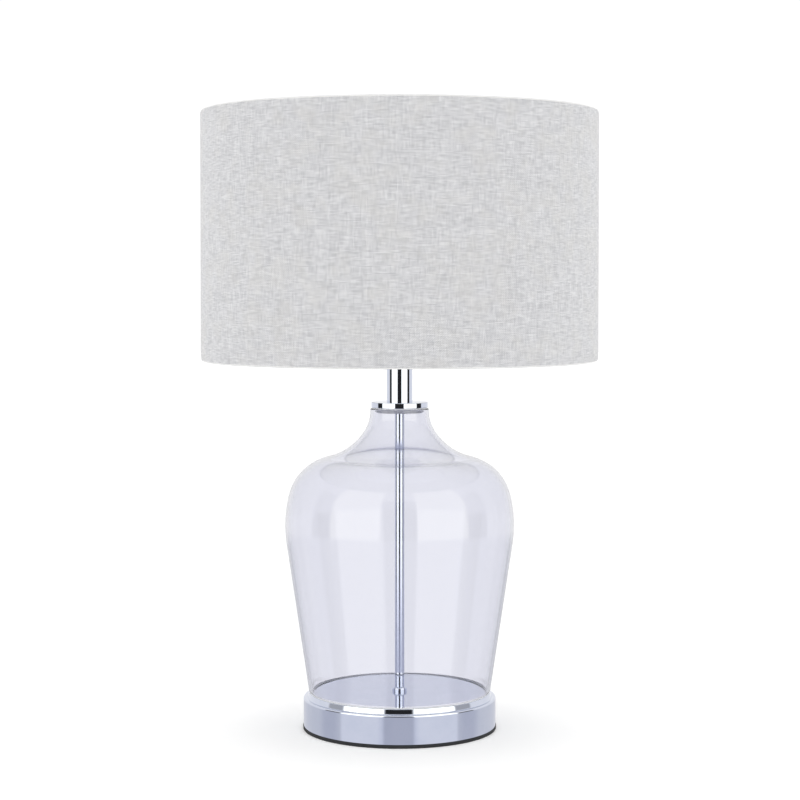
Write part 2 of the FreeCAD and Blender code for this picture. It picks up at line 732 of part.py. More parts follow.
def shade_ring():
    """The ring that screws down on the shade fitter, with grip ribs round it."""
    bottom = "flange_top + fitter_height"
    body = turned_part("shade_ring", [
        ("ring_bore", bottom),
        ("ring_flange", bottom),
        ("ring_flange", f"{bottom} + ring_height / 5"),
        ("ring_radius", f"{bottom} + ring_height / 5"),
        ("ring_radius", f"{bottom} + ring_height"),
        ("ring_bore", f"{bottom} + ring_height"),
    ])
    rib = new_sketch(body, "XY_Plane")
    circle(rib, "ring_radius", "0", "rib_radius")
    rib.setExpression(".AttachmentOffset.Base.z", linked(f"{bottom} + ring_height / 5"))
    grip = body.newObject("PartDesign::Pad", "rib")
    grip.Profile = rib
    grip.setExpression("Length", linked("ring_height * 0.7"))
    doc.recompute()
    polar(body, grip, "rib_count")


def lampholder():
    holder_cap()
    holder_body()
    contact_block()
    screw_shell()
    centre_contact()
    terminal_screws()
    push_switch()
    shade_ring()


# ---- shade ------------------------------------------------------------------------------------------

SHADE_TOP = "shade_bottom + shade_height"


def shade_cover():
    """Fabric laminated to the liner and turned in over the wire at both rims."""
    inner = "shade_radius - cloth_wall"
    hem = "shade_radius - hem_width"
    fold = f"{hem} + cloth_wall"
    turned_part("shade_cover", [
        (hem, "shade_bottom"),
        ("shade_radius", "shade_bottom"),
        ("shade_radius", SHADE_TOP),
        (hem, SHADE_TOP),
        (hem, f"{SHADE_TOP} - hem_height"),
        (fold, f"{SHADE_TOP} - hem_height"),
        (fold, f"{SHADE_TOP} - cloth_wall"),
        (inner, f"{SHADE_TOP} - cloth_wall"),
        (inner, "shade_bottom + cloth_wall"),
        (fold, "shade_bottom + cloth_wall"),
        (fold, "shade_bottom + hem_height"),
        (hem, "shade_bottom + hem_height"),
    ])


def shade_liner():
    outer = "shade_radius - cloth_wall - fit_gap"
    ring_part("shade_liner", f"{outer} - liner_wall", outer,
              "shade_bottom + cloth_wall + fit_gap", f"{SHADE_TOP} - cloth_wall - fit_gap")


def wire_ring(body, height):
    """A ring of round wire: a circle revolved about Z."""
    sketch = new_sketch(body, "XZ_Plane")
    circle(sketch, "wire_circle", height, "wire_radius")
    ring = body.newObject("PartDesign::Revolution", "wire_ring")
    ring.Profile = sketch
    ring.ReferenceAxis = (sketch, ["V_Axis"])
    doc.recompute()


def shade_frame():
    """The fitter, its arms and the lower ring, welded together."""
    body = new_body("shade_frame")
    fitter_top = "flange_top + fitter_height"
    ring_height = "shade_bottom + cloth_wall + wire_radius + fit_gap"
    revolve(body, [("fitter_bore", "flange_top"), ("fitter_radius", "flange_top"),
                   ("fitter_radius", fitter_top), ("fitter_bore", fitter_top)])
    path = new_sketch(body, "YZ_Plane")
    level = "flange_top - arm_radius + 0.2"
    inner = "flange_radius + 0.6"
    places = [(inner, level), ("arm_bend", f"{level} - arm_drop"),
              ("wire_circle", f"{ring_height} + arm_foot"), ("wire_circle", ring_height)]
    polyline(path, places)
    section = new_sketch(body, "XZ_Plane")
    circle(section, "0", level, "arm_radius")
    section.setExpression(".AttachmentOffset.Base.z", linked(f"-({inner})"))
    arm = body.newObject("PartDesign::AdditivePipe", "arm")
    arm.Profile = section
    arm.Spine = (path, ["Edge1", "Edge2", "Edge3"])
    arm.Transition = "Right corner"
    doc.recompute()
    polar(body, arm, "arm_count")
    wire_ring(body, ring_height)


def shade():
    shade_cover()
    shade_liner()
    wire_ring(new_body("shade_top_ring"), f"{SHADE_TOP} - cloth_wall - wire_radius - fit_gap")
    shade_frame()


# ---- bulb -------------------------------------------------------------------------------------------

TIP_BOTTOM = "block_top + contact_rise + fit_gap"
INSULATOR_BOTTOM = f"{TIP_BOTTOM} + tip_height"
BULB_CAP_BOTTOM = f"{INSULATOR_BOTTOM} + insulator_height"
HOUSING_BOTTOM = f"{BULB_CAP_BOTTOM} + bulb_cap_height"
GLOBE_BOTTOM = f"{HOUSING_BOTTOM} + housing_height"


def bulb():
    """A screw-cap lamp: contact button, insulator, threaded cap, plastic housing and opal globe."""
    tip = turned_part("bulb_contact", [
        ("0", TIP_BOTTOM),
        ("tip_radius", TIP_BOTTOM),
        ("tip_radius", INSULATOR_BOTTOM),
        ("0", INSULATOR_BOTTOM),
    ])
    round_off(tip, [("tip_radius", TIP_BOTTOM)], "tip_height / 2")
    turned_part("bulb_insulator", [
        ("0", INSULATOR_BOTTOM),
        ("tip_radius + 1", INSULATOR_BOTTOM),
        ("insulator_radius", BULB_CAP_BOTTOM),
        ("0", BULB_CAP_BOTTOM),
    ])
    root = "bulb_cap_radius - bulb_cap_depth"
    turns = round(number("bulb_cap_height") / number("bulb_pitch"))
    turned_part("bulb_cap", [
        ("0", BULB_CAP_BOTTOM),
        ("insulator_radius", BULB_CAP_BOTTOM),
        (root, f"{BULB_CAP_BOTTOM} + 1"),
        *ridges("bulb_cap_radius", root, f"{BULB_CAP_BOTTOM} + 1", HOUSING_BOTTOM, turns),
        (root, HOUSING_BOTTOM),
        ("0", HOUSING_BOTTOM),
    ])
    turned_part("bulb_housing", [
        ("0", HOUSING_BOTTOM),
        ("bulb_cap_radius + 0.6", HOUSING_BOTTOM),
        ("bulb_cap_radius + 1.4", f"{HOUSING_BOTTOM} + 4"),
        ("housing_radius", GLOBE_BOTTOM),
        ("0", GLOBE_BOTTOM),
    ], {2: "housing_height * 2.2"})
    equator = f"{GLOBE_BOTTOM} + globe_collar"
    inner = "globe_radius - globe_wall"
    turned_part("bulb_globe", [
        ("housing_radius - globe_wall", GLOBE_BOTTOM),
        ("housing_radius", GLOBE_BOTTOM),
        ("globe_radius", equator),
        ("0", f"{equator} + globe_radius"),
        ("0", f"{equator} + {inner}"),
        (inner, equator),
    ], {2: "globe_radius", 4: f"-({inner})"})


# ---- wiring inside the lamp -------------------------------------------------------------------------

BLOCK_BOTTOM = f"{WEIGHT_BOTTOM} - block_height"
WAY_HEIGHT = f"{BLOCK_BOTTOM} + block_height / 2"
WAYS = (-1, 0, 1)


def terminal_block():
    """Three ways side by side, each with a screw from below at both ends."""
    body = new_body("terminal_block")
    across, deep = "block_length / 2", "block_depth / 2"
    extrude(body, "XY_Plane", lambda s: rectangle(s, f"-{across}", across, f"-{deep}", deep), "block_height")
    for way in WAYS:
        cut(body, "XZ_Plane", lambda s: circle(s, f"way_pitch * {way}", "block_height / 2", "way_radius"),
            "block_depth + 2", both_ways=True)
        for end in ("", "-"):
            cut(body, "XY_Plane",
                lambda s: circle(s, f"way_pitch * {way}", f"{end}block_depth / 4", "screw_radius + 0.1"),
                "block_height / 2", backwards=True)
    lift(body, back="block_back", up=BLOCK_BOTTOM)
    screws = [
        slotted_screw(f"block_screw_{way + 1}{end}", "screw_radius", "block_height / 2 - way_radius",
                      f"way_pitch * {way}", f"block_back {end} block_depth / 4",
                      f"{BLOCK_BOTTOM} - screw_proud")
        for way in WAYS for end in "+-"
    ]
    grouped("block_screws", screws)


def swept_lead(label, points, bends):
    """A round lead along straight runs, with an arc of its own radius at each corner."""
    spots = [FreeCAD.Vector(*(number(x) for x in p)) for p in points]
    edges, start = [], spots[0]
    for corner, before, after, bend in zip(spots[1:], spots, spots[2:], bends):
        back, on = (before - corner).normalize(), (after - corner).normalize()
        half = back.getAngle(on) / 2
        reach = bend / math.tan(half)
        middle = corner + (back + on).normalize() * (bend / math.sin(half) - bend)
        edges.append(Part.LineSegment(start, corner + back * reach).toShape())
        edges.append(Part.Arc(corner + back * reach, middle, corner + on * reach).toShape())
        start = corner + on * reach
    edges.append(Part.LineSegment(start, spots[-1]).toShape())
    route = Part.Wire(edges)
    radius = number("lead_radius")
    section = Part.Wire(Part.Circle(spots[0], spots[1] - spots[0], radius).toShape())
    solid = route.makePipeShell([section], True, False)
    expected = math.pi * radius * radius * route.Length
    if abs(solid.Volume / expected - 1) > 0.01:
        raise RuntimeError(f"{label}: the sweep holds {solid.Volume:.1f} mm3 and not {expected:.1f}")
    print(f"{label}: {route.Length:.0f} mm long, bends of {', '.join(f'{b:g}' for b in bends)} mm")
    lead = doc.addObject("Part::Feature", label)
    lead.Shape = solid
    keep(lead, label)


def leads():
    """Live and neutral run from the terminal block down to the pad, in under the rod, up through it and out
    to the lampholder's terminals. The earth lead is short, and ends on the tag."""
    front = "block_back - block_depth / 2 + 2"
    low, top = number("lead_bend"), number("lead_rise")
    for label, side in (("live_lead", "-"), ("neutral_lead", "")):
        way, rod, screw = f"{side}way_pitch", f"{side}lead_offset", f"{side}terminal_offset"
        swept_lead(label, [
            (way, front, WAY_HEIGHT),
            (way, f"{front} - lead_bend", WAY_HEIGHT),
            (way, f"{front} - lead_bend * 1.9", "lead_low"),
            (rod, "0", "lead_low"),
            (rod, "0", "rod_top + 3.5"),
            (screw, "-terminal_back", "cap_top - 3.5"),
            (screw, "-terminal_back", "cap_top"),
        ], [low, low, low, top, top])
    tag_under = f"{WEIGHT_BOTTOM} - washer_height - tag_height"
    bend = number("earth_bend")
    swept_lead("earth_lead", [
        ("0", front, WAY_HEIGHT),
        ("0", "tag_reach + 11", WAY_HEIGHT),
        ("0", "tag_reach + 3", f"{tag_under} - lead_radius - 0.1"),
        ("0", "tag_reach - 5", f"{tag_under} - lead_radius - 0.1"),
    ], [bend, bend])


def wiring():
    terminal_block()
    leads()


# ---- checks and files -------------------------------------------------------------------------------


def check_and_write():
    """Every object has to be up to date and free of errors, and every sub-part a valid closed solid."""
    doc.recompute()
    broken = [o.Label for o in doc.Objects if {"Invalid", "Error"} & set(o.State)]
    for made in NODES:
        shape = made.Shape
        if shape.isNull() or not shape.isValid() or not shape.Solids:
            broken.append(made.Label)
    if broken:
        raise RuntimeError(f"these failed: {', '.join(broken)}")
    os.makedirs("parts", exist_ok=True)
    for made in NODES:
        made.Shape.exportStep(os.path.join("parts", f"{made.Label}.step"))
    print(f"{len(NODES)} sub-parts written")


base_parts()
rod_and_neck()
glass_body()
lampholder()
shade()
bulb()
wiring()
check_and_write()
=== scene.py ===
import json
import math

import bmesh
import bpy
import numpy as np
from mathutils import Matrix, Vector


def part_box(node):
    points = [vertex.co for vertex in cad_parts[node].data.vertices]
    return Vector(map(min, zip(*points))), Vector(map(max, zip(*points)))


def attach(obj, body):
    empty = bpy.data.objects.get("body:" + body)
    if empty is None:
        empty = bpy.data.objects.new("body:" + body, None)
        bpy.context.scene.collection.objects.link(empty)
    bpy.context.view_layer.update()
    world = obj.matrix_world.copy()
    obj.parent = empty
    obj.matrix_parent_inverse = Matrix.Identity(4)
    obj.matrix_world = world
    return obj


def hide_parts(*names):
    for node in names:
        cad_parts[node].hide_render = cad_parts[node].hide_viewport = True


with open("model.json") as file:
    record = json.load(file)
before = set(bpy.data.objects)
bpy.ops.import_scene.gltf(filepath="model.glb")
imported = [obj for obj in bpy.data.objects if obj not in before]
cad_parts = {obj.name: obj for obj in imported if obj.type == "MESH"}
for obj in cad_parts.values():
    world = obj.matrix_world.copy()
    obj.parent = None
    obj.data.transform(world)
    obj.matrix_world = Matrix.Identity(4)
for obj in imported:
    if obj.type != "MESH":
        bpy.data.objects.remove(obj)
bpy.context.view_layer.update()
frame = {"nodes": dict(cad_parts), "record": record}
NODES = frame["nodes"]
SLOT_OF = {s["node"]: s["material_slot"] for s in frame["record"]["subparts"]}
MM = 0.001
TAU = 2 * math.pi
DOME_RINGS = 4  # rings of points in a wire's domed end
ASKEW = (0.3, 0.5, 0.81)  # a direction that no wire starts along
REAR = math.pi / 2  # the angle of the cable hole and of the shade's lap


def box_mm(node):
    """Lowest and highest corner of a CAD node, in millimetres."""
    lo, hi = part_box(node)
    return lo / MM, hi / MM


# ---- mesh helpers -----------------------------------------------------------------------------------


def make_mesh(name, points, faces, normals=None):
    """A smooth-shaded object from points in millimetres."""
    mesh = bpy.data.meshes.new(name)
    mesh.from_pydata([tuple(p) for p in np.asarray(points) * MM], [], faces)
    mesh.validate()
    mesh.shade_smooth()
    if normals is None:
        work = bmesh.new()
        work.from_mesh(mesh)
        bmesh.ops.recalc_face_normals(work, faces=work.faces)
        work.to_mesh(mesh)
        work.free()
    else:
        mesh.normals_split_custom_set_from_vertices([tuple(n) for n in normals])
    made = bpy.data.objects.new(name, mesh)
    bpy.context.scene.collection.objects.link(made)
    return made


def joined(name, shells):
    """Several (points, faces, normals) shells as one."""
    points, faces, normals, start = [], [], [], 0
    for shell_points, shell_faces, shell_normals in shells:
        points.append(np.asarray(shell_points))
        normals.append(np.asarray(shell_normals))
        faces += [tuple(i + start for i in face) for face in shell_faces]
        start += len(shell_points)
    return make_mesh(name, np.concatenate(points), faces, np.concatenate(normals))


def grid_faces(rows, columns, wrap_rows, wrap_columns):
    """Quads over a grid of points numbered row by row."""
    faces = []
    for row in range(rows if wrap_rows else rows - 1):
        here, above = row * columns, ((row + 1) % rows) * columns
        for column in range(columns if wrap_columns else columns - 1):
            beside = (column + 1) % columns
            faces.append((here + column, here + beside, above + beside, above + column))
    return faces


def eased(t):
    """From 0 to 1 as t goes from 0 to 1, with a level start and end."""
    t = np.clip(t, 0, 1)
    return t * t * (3 - 2 * t)


def arc(before, here, after, radius, steps):
    """Points of the arc that rounds the corner at here, between its two neighbours."""
    u = (before - here) / np.linalg.norm(before - here)
    v = (after - here) / np.linalg.norm(after - here)
    half = math.acos(np.clip(u @ v, -1, 1)) / 2
    reach = radius / math.tan(half)
    centre = here + (u + v) / np.linalg.norm(u + v) * radius / math.sin(half)
    a, b = here + u * reach - centre, here + v * reach - centre
    turn = math.acos(np.clip(a @ b / radius**2, -1, 1))
    shares = [k / steps for k in range(steps + 1)]
    return [centre + (a * math.sin((1 - t) * turn) + b * math.sin(t * turn)) / math.sin(turn)
            for t in shares]


def rounded(corners, steps):
    """A closed section with its corners rounded: corners are (r, z) or (r, z, radius)."""
    path = []
    for i, corner in enumerate(corners):
        here = np.array(corner[:2], float)
        if len(corner) == 2:
            path.append(here)
            continue
        before = np.array(corners[i - 1][:2], float)
        after = np.array(corners[(i + 1) % len(corners)][:2], float)
        path += arc(before, here, after, corner[2], steps)
    return np.array(path)


def soft_path(points, bends, steps):
    """An open path through points with its inner corners rounded to the given radii."""
    points = [np.array(p, float) for p in points]
    path = [points[0]]
    for i, radius in enumerate(bends, start=1):
        path += arc(points[i - 1], points[i], points[i + 1], radius, steps)
    path.append(points[-1])
    return np.array(path)


def section_normals(path):
    """Outward normals of a closed section that runs anticlockwise in (r, z)."""
    step = np.roll(path, -1, 0) - np.roll(path, 1, 0)
    step /= np.linalg.norm(step, axis=1)[:, None]
    return np.stack([step[:, 1], -step[:, 0]], 1)


def lathe_shell(path, segments):
    """Points, faces and normals of a closed section turned about Z."""
    path = np.asarray(path, float)
    area = np.sum(path[:, 0] * np.roll(path[:, 1], -1) - np.roll(path[:, 0], -1) * path[:, 1])
    if area < 0:
        path = path[::-1]
    across = section_normals(path)
    angles = np.arange(segments) * TAU / segments
    cosines, sines = np.cos(angles)[None, :], np.sin(angles)[None, :]
    heights, slopes = np.repeat(path[:, 1:], segments, 1), np.repeat(across[:, 1:], segments, 1)
    points = np.stack([path[:, :1] * cosines, path[:, :1] * sines, heights], 2)
    normals = np.stack([across[:, :1] * cosines, across[:, :1] * sines, slopes], 2)
    return points.reshape(-1, 3), grid_faces(len(path), segments, True, True), normals.reshape(-1, 3)


def threaded_shell(path, lift, pitch, depth, shape, segments):
    """A turned closed section, lifted outwards by lift (0 to 1) times a right-hand thread."""
    path, lift = np.asarray(path, float), np.asarray(lift, float)
    angles = np.arange(segments) / segments
    phase = path[:, 1:] / pitch - angles[None, :]
    radii = path[:, :1] + lift[:, None] * depth * shape(phase - np.floor(phase))
    heights = np.repeat(path[:, 1:], segments, 1)
    points = np.stack([radii * np.cos(angles * TAU), radii * np.sin(angles * TAU), heights], 2)
    along = np.roll(points, -1, 0) - np.roll(points, 1, 0)
    around = np.roll(points, -1, 1) - np.roll(points, 1, 1)
    normals = np.cross(around, along)
    normals /= np.maximum(np.linalg.norm(normals, axis=2, keepdims=True), 1e-9)
    return points.reshape(-1, 3), grid_faces(len(path), segments, True, True), normals.reshape(-1, 3)


def dense(path, step):
    """Adds points along the straight stretches of a closed section."""
    out = []
    for a, b in zip(path, np.roll(path, -1, 0)):
        count = max(1, int(np.linalg.norm(b - a) / step))
        out += [a + (b - a) * k / count for k in range(count)]
    return np.array(out)


def tube_shell(path, radius, sides, closed):
    """A round wire along a path of points, with domed ends where it is open."""
    path = np.asarray(path, float)
    if closed:
        along = np.roll(path, -1, 0) - np.roll(path, 1, 0)
    else:
        along = np.gradient(path, axis=0)
    along /= np.linalg.norm(along, axis=1)[:, None]
    radii = np.full(len(path), float(radius))
    if not closed:
        turns = np.linspace(0.12, math.pi / 2, DOME_RINGS + 1)[:-1]
        dome = np.sin(turns) * radius
        reach = np.cos(turns) * radius
        lead = [path[0] - along[0] * far for far in reach]
        tail = [path[-1] + along[-1] * far for far in reach[::-1]]
        path = np.concatenate([lead, path, tail])
        along = np.concatenate([[along[0]] * DOME_RINGS, along, [along[-1]] * DOME_RINGS])
        radii = np.concatenate([dome, radii, dome[::-1]])
    side = np.cross(along[0], ASKEW)
    rings, outward = [], []
    for centre, forward, size in zip(path, along, radii):
        side = side - forward * (side @ forward)
        side /= np.linalg.norm(side)
        other = np.cross(forward, side)
        for k in range(sides):
            angle = TAU * k / sides
            away = side * math.cos(angle) + other * math.sin(angle)
            outward.append(away)
            rings.append(centre + away * size)
    faces = grid_faces(len(path), sides, closed, True)
    if not closed:
        last = (len(path) - 1) * sides
        faces += [tuple(range(sides))[::-1], tuple(range(last, last + sides))]
    return np.array(rings), faces, np.array(outward)


def ring_path(radius, height):
    """The middle line of a level ring."""
    count = 256
    angles = np.arange(count) * TAU / count
    return np.stack([radius * np.cos(angles), radius * np.sin(angles), np.full(count, height)], 1)


def bead_shell(centre, radii):
    """A small smooth lump of weld, with a tiny flat face at each pole."""
    rows, columns = 10, 20
    points, normals = [], []
    for i in range(rows + 1):
        rise = -math.pi / 2 + math.pi * min(max(i / rows, 0.02), 0.98)
        for j in range(columns):
            angle = TAU * j / columns
            level = math.cos(rise)
            away = np.array([level * math.cos(angle), level * math.sin(angle), math.sin(rise)])
            points.append(np.array(centre) + away * np.array(radii))
            normals.append(away)
    faces = grid_faces(rows + 1, columns, False, True)
    last = rows * columns
    faces += [tuple(range(columns))[::-1], tuple(range(last, last + columns))]
    return np.array(points), faces, np.array(normals)


# ---- materials --------------------------------------------------------------------------------------


class Finish:
    """A Principled material and short ways to add nodes to it."""

    def __init__(self, name, **values):
        self.material = bpy.data.materials.new(name)
        self.material.use_nodes = True
        self.tree = self.material.node_tree
        self.shader = self.tree.nodes["Principled BSDF"]
        for key, value in values.items():
            self.shader.inputs[key.replace("_", " ")].default_value = value
        self.where = self.tree.nodes.new("ShaderNodeTexCoord").outputs["Object"]

    def put(self, socket, value):
        """Links another node's output to a socket, or sets the socket to a plain value."""
        if hasattr(value, "is_output"):
            self.tree.links.new(value, socket)
        else:
            socket.default_value = value

    def math(self, operation, *values, clamp=False):
        node = self.tree.nodes.new("ShaderNodeMath")
        node.operation = operation
        node.use_clamp = clamp
        for socket, value in zip(node.inputs, values):
            self.put(socket, value)
        return node.outputs[0]

    def xyz(self):
        node = self.tree.nodes.new("ShaderNodeSeparateXYZ")
        self.put(node.inputs[0], self.where)
        return node.outputs

    def vector(self, x, y, z):
        """Three values as one vector or colour."""
        node = self.tree.nodes.new("ShaderNodeCombineXYZ")
        for socket, value in zip(node.inputs, (x, y, z)):
            self.put(socket, value)
        return node.outputs[0]

    def scaled(self, vector, scale):
        node = self.tree.nodes.new("ShaderNodeVectorMath")
        node.operation = "MULTIPLY"
        self.put(node.inputs[0], vector)
        node.inputs[1].default_value = scale
        return node.outputs[0]

    def noise(self, scale, detail=3.0, rough=0.55, vector=None, stretch=None):
        vector = self.where if vector is None else vector
        if stretch:
            vector = self.scaled(vector, stretch)
        node = self.tree.nodes.new("ShaderNodeTexNoise")
        node.inputs["Scale"].default_value = scale
        node.inputs["Detail"].default_value = detail
        node.inputs["Roughness"].default_value = rough
        self.put(node.inputs["Vector"], vector)
        return node.outputs["Fac"]

    def voronoi(self, scale):
        node = self.tree.nodes.new("ShaderNodeTexVoronoi")
        node.inputs["Scale"].default_value = scale
        self.put(node.inputs["Vector"], self.where)
        return node.outputs["Distance"]

    def span(self, value, low, high, to_low=0.0, to_high=1.0, smooth=False):
        """Maps the range low to high onto to_low to to_high, and holds it there outside."""
        node = self.tree.nodes.new("ShaderNodeMapRange")
        node.interpolation_type = "SMOOTHSTEP" if smooth else "LINEAR"
        for socket, v in zip(node.inputs, (value, low, high, to_low, to_high)):
            self.put(socket, v)
        return node.outputs[0]

    def mix(self, factor, a, b, blend="MIX"):
        """Two colours mixed: inputs 6 and 7 and output 2 are the node's colour sockets."""
        node = self.tree.nodes.new("ShaderNodeMix")
        node.data_type = "RGBA"
        node.blend_type = blend
        self.put(node.inputs[0], factor)
        for socket, value in zip((node.inputs[6], node.inputs[7]), (a, b)):
            self.put(socket, value if hasattr(value, "is_output") else (*value, 1))
        return node.outputs[2]

    def colour(self, value):
        self.put(self.shader.inputs["Base Color"], value if hasattr(value, "is_output") else (*value, 1))

    def rough(self, value):
        self.put(self.shader.inputs["Roughness"], value)

    def bump(self, height, distance, strength=1.0):
        node = self.tree.nodes.new("ShaderNodeBump")
        node.inputs["Strength"].default_value = strength
        node.inputs["Distance"].default_value = distance
        self.put(node.inputs["Height"], height)
        self.put(self.shader.inputs["Normal"], node.outputs[0])


def mottled(name, dark, light, scale, rough, grain, grain_height, values):
    """A general finish: colour and roughness vary a little, over a fine grain."""
    f = Finish(name, **values)
    f.colour(f.mix(f.noise(scale, 4.0, 0.6), dark, light))
    f.rough(f.span(f.noise(scale * 2.3, 3.0), 0.3, 0.7, *rough))
    f.bump(f.noise(grain, 2.0, 0.5), grain_height)
    return f.material


def chrome_finish():
    """Polished plate: a faint haze in colour and roughness, with hairline wipe marks."""
    f = Finish("chrome", Metallic=1.0)
    haze = f.noise(38, 4.0, 0.6)
    f.colour(f.mix(f.span(haze, 0.35, 0.65), (0.600, 0.635, 0.745), (0.640, 0.670, 0.775)))
    wipe = f.noise(900, 2.0, 0.7, stretch=(1.0, 1.0, 0.04))
    f.rough(f.math("ADD", f.span(haze, 0.3, 0.75, 0.030, 0.060), f.math("MULTIPLY", wipe, 0.012)))
    f.bump(f.noise(16, 1.0, 0.4), 0.00002, 0.6)
    return f.material


WARP_PITCH, WEFT_PITCH = 0.96, 0.92  # millimetres from yarn to yarn, upright and level
WARP_STREAK, WEFT_STREAK = 0.26, 0.36  # how far a stretch of yarn goes lighter or darker
DRUM_R = 175.0  # turns an angle round the shade into millimetres of cloth


def linen_finish():
    """Plain-weave linen: single yarns over and under each other, uneven in tone, with slubs, and painted
    shade in the low gaps between yarns.
    """
    f = Finish("linen", Roughness=0.86)
    f.shader.inputs["Sheen Weight"].default_value = 0.18
    f.shader.inputs["Sheen Roughness"].default_value = 0.45
    f.shader.inputs["Specular IOR Level"].default_value = 0.22
    x, y, z = f.xyz()
    angle = f.math("ARCTAN2", x, f.math("MULTIPLY", y, -1.0))
    round_mm = f.math("MULTIPLY", angle, DRUM_R)
    up_mm = f.math("MULTIPLY", z, 1000.0)
    flat = f.vector(round_mm, up_mm, 0.0)
    sway = f.noise(0.045, 3.0, 0.6, vector=flat)
    sway_up = f.noise(0.05, 3.0, 0.6, vector=f.vector(up_mm, round_mm, 4.0))
    warp = f.math("ADD", f.math("DIVIDE", round_mm, WARP_PITCH), f.math("MULTIPLY", sway, 0.35))
    weft = f.math("ADD", f.math("DIVIDE", up_mm, WEFT_PITCH), f.math("MULTIPLY", sway_up, 0.35))
    warp_no, weft_no = f.math("FLOOR", warp), f.math("FLOOR", weft)

    def crown(count, number):
        """Height of a yarn's round back, from the running count and the yarn's whole number."""
        across = f.math("SUBTRACT", f.math("MULTIPLY", f.math("SUBTRACT", count, number), 2.0), 1.0)
        square = f.math("MULTIPLY", across, f.math("MULTIPLY", across, 0.96))
        return f.math("SQRT", f.math("SUBTRACT", 1.0, square))

    over = f.math("COSINE", f.math("MULTIPLY", f.math("ADD", weft, warp_no), math.pi))
    under = f.math("COSINE", f.math("MULTIPLY", f.math("ADD", f.math("ADD", warp, weft_no), 1.0), math.pi))
    warp_high = f.math("MULTIPLY", crown(warp, warp_no), f.span(over, -1.0, 1.0, 0.55, 1.0))
    weft_high = f.math("MULTIPLY", crown(weft, weft_no), f.span(under, -1.0, 1.0, 0.55, 1.0))
    height = f.math("MAXIMUM", warp_high, weft_high)
    on_warp = f.math("GREATER_THAN", warp_high, weft_high)

    def yarn(number, along, seed):
        """One yarn's own tone, its slubs and its fine unevenness."""
        tone = f.noise(1.0, 2.0, 0.6, vector=f.vector(f.math("MULTIPLY", number, 7.31), seed, 0.0))
        slub = f.noise(1.0, 2.0, 0.65, vector=f.vector(
            f.math("MULTIPLY", number, 3.77), f.math("MULTIPLY", along, 0.055), seed + 9.0))
        fine = f.noise(1.0, 2.0, 0.7, vector=f.vector(
            f.math("MULTIPLY", number, 5.13), f.math("MULTIPLY", along, 0.9), seed + 21.0))
        return tone, slub, fine

    tone_a, slub_a, fine_a = yarn(warp_no, up_mm, 1.5)
    tone_b, slub_b, fine_b = yarn(weft_no, round_mm, 5.5)
    tone = f.mix(on_warp, f.vector(tone_b, slub_b, fine_b), f.vector(tone_a, slub_a, fine_a))
    parts = f.tree.nodes.new("ShaderNodeSeparateXYZ")
    f.put(parts.inputs[0], tone)
    shade = f.math("MULTIPLY", f.math("SUBTRACT", parts.outputs[0], 0.5), 0.40)
    for part, gain in ((parts.outputs[1], 0.35), (parts.outputs[2], 0.40)):
        shade = f.math("ADD", shade, f.math("MULTIPLY", f.math("SUBTRACT", part, 0.5), gain))
    for along, number, seed, gain in ((up_mm, warp_no, 3.0, WARP_STREAK),
                                      (round_mm, weft_no, 17.0, WEFT_STREAK)):
        place = f.vector(f.math("MULTIPLY", number, 6.17), f.math("MULTIPLY", along, 0.10), seed)
        streak = f.noise(1.0, 1.0, 0.5, vector=place)
        shade = f.math("ADD", shade, f.span(streak, 0.30, 0.70, -gain, gain))
    level = f.math("ADD", 0.5, shade, clamp=True)
    cloth = f.mix(level, (0.518, 0.520, 0.538), (0.752, 0.752, 0.764))
    warm = f.noise(0.045, 3.0, 0.6, vector=f.vector(round_mm, up_mm, 31.0))
    cloth = f.mix(f.span(warm, 0.46, 0.66, 0.0, 0.26), cloth, (0.665, 0.650, 0.615))
    # painted shade: the colour darkens where the yarns dip low, between and under each other
    painted_gap_shade = f.span(height, 0.30, 0.72, 0.72, 1.0)
    f.colour(f.mix(1.0, cloth, f.vector(painted_gap_shade, painted_gap_shade, painted_gap_shade), "MULTIPLY"))
    f.rough(f.span(parts.outputs[2], 0.3, 0.7, 0.80, 0.93))
    loft = f.math("ADD", height, f.math("MULTIPLY", parts.outputs[1], 0.5))
    f.bump(loft, 0.00016, 0.8)
    return f.material


def glass_finish():
    """Clear glass: a cool tint on its surface and in its depth, and the faintest ripple."""
    f = Finish("clear_glass", Roughness=0.0, IOR=1.5, Transmission_Weight=1.0)
    f.shader.inputs["Specular Tint"].default_value = (0.55, 0.55, 0.55, 1.0)
    tint = f.noise(9, 2.0, 0.5)
    f.colour(f.mix(tint, (0.927, 0.930, 0.963), (0.941, 0.943, 0.975)))
    depth = f.tree.nodes.new("ShaderNodeVolumeAbsorption")
    depth.inputs["Color"].default_value = (0.03, 0.05, 0.28, 1.0)
    depth.inputs["Density"].default_value = 24.0
    f.tree.links.new(depth.outputs[0], f.tree.nodes["Material Output"].inputs["Volume"])
    ripple = f.noise(7, 1.0, 0.4, stretch=(1.0, 1.0, 0.35))
    f.bump(ripple, 0.00012, 0.5)
    return f.material


def iron_finish():
    """The weight's cast iron, dull and a little pitted."""
    f = Finish("iron", Metallic=0.6)
    patch = f.noise(45, 5.0, 0.65)
    f.colour(f.mix(patch, (0.055, 0.052, 0.050), (0.120, 0.115, 0.110)))
    f.rough(f.span(patch, 0.3, 0.7, 0.55, 0.80))
    f.bump(f.math("ADD", f.noise(420, 3.0), f.voronoi(160)), 0.0002, 0.7)
    return f.material


def foam_finish():
    """The pad's dark foam, with fine cells whose pits carry painted shade."""
    f = Finish("foam_pad")
    cells = f.voronoi(1900)
    patch = f.noise(60, 3.0)
    # painted shade in the pores: darker in the pits that the bump sinks, over random patches of real tone
    f.colour(f.mix(f.math("MULTIPLY", cells, patch), (0.016, 0.017, 0.020), (0.036, 0.038, 0.043)))
    f.rough(f.span(patch, 0.3, 0.7, 0.82, 0.95))
    f.bump(cells, 0.00015, 0.8)
    return f.material


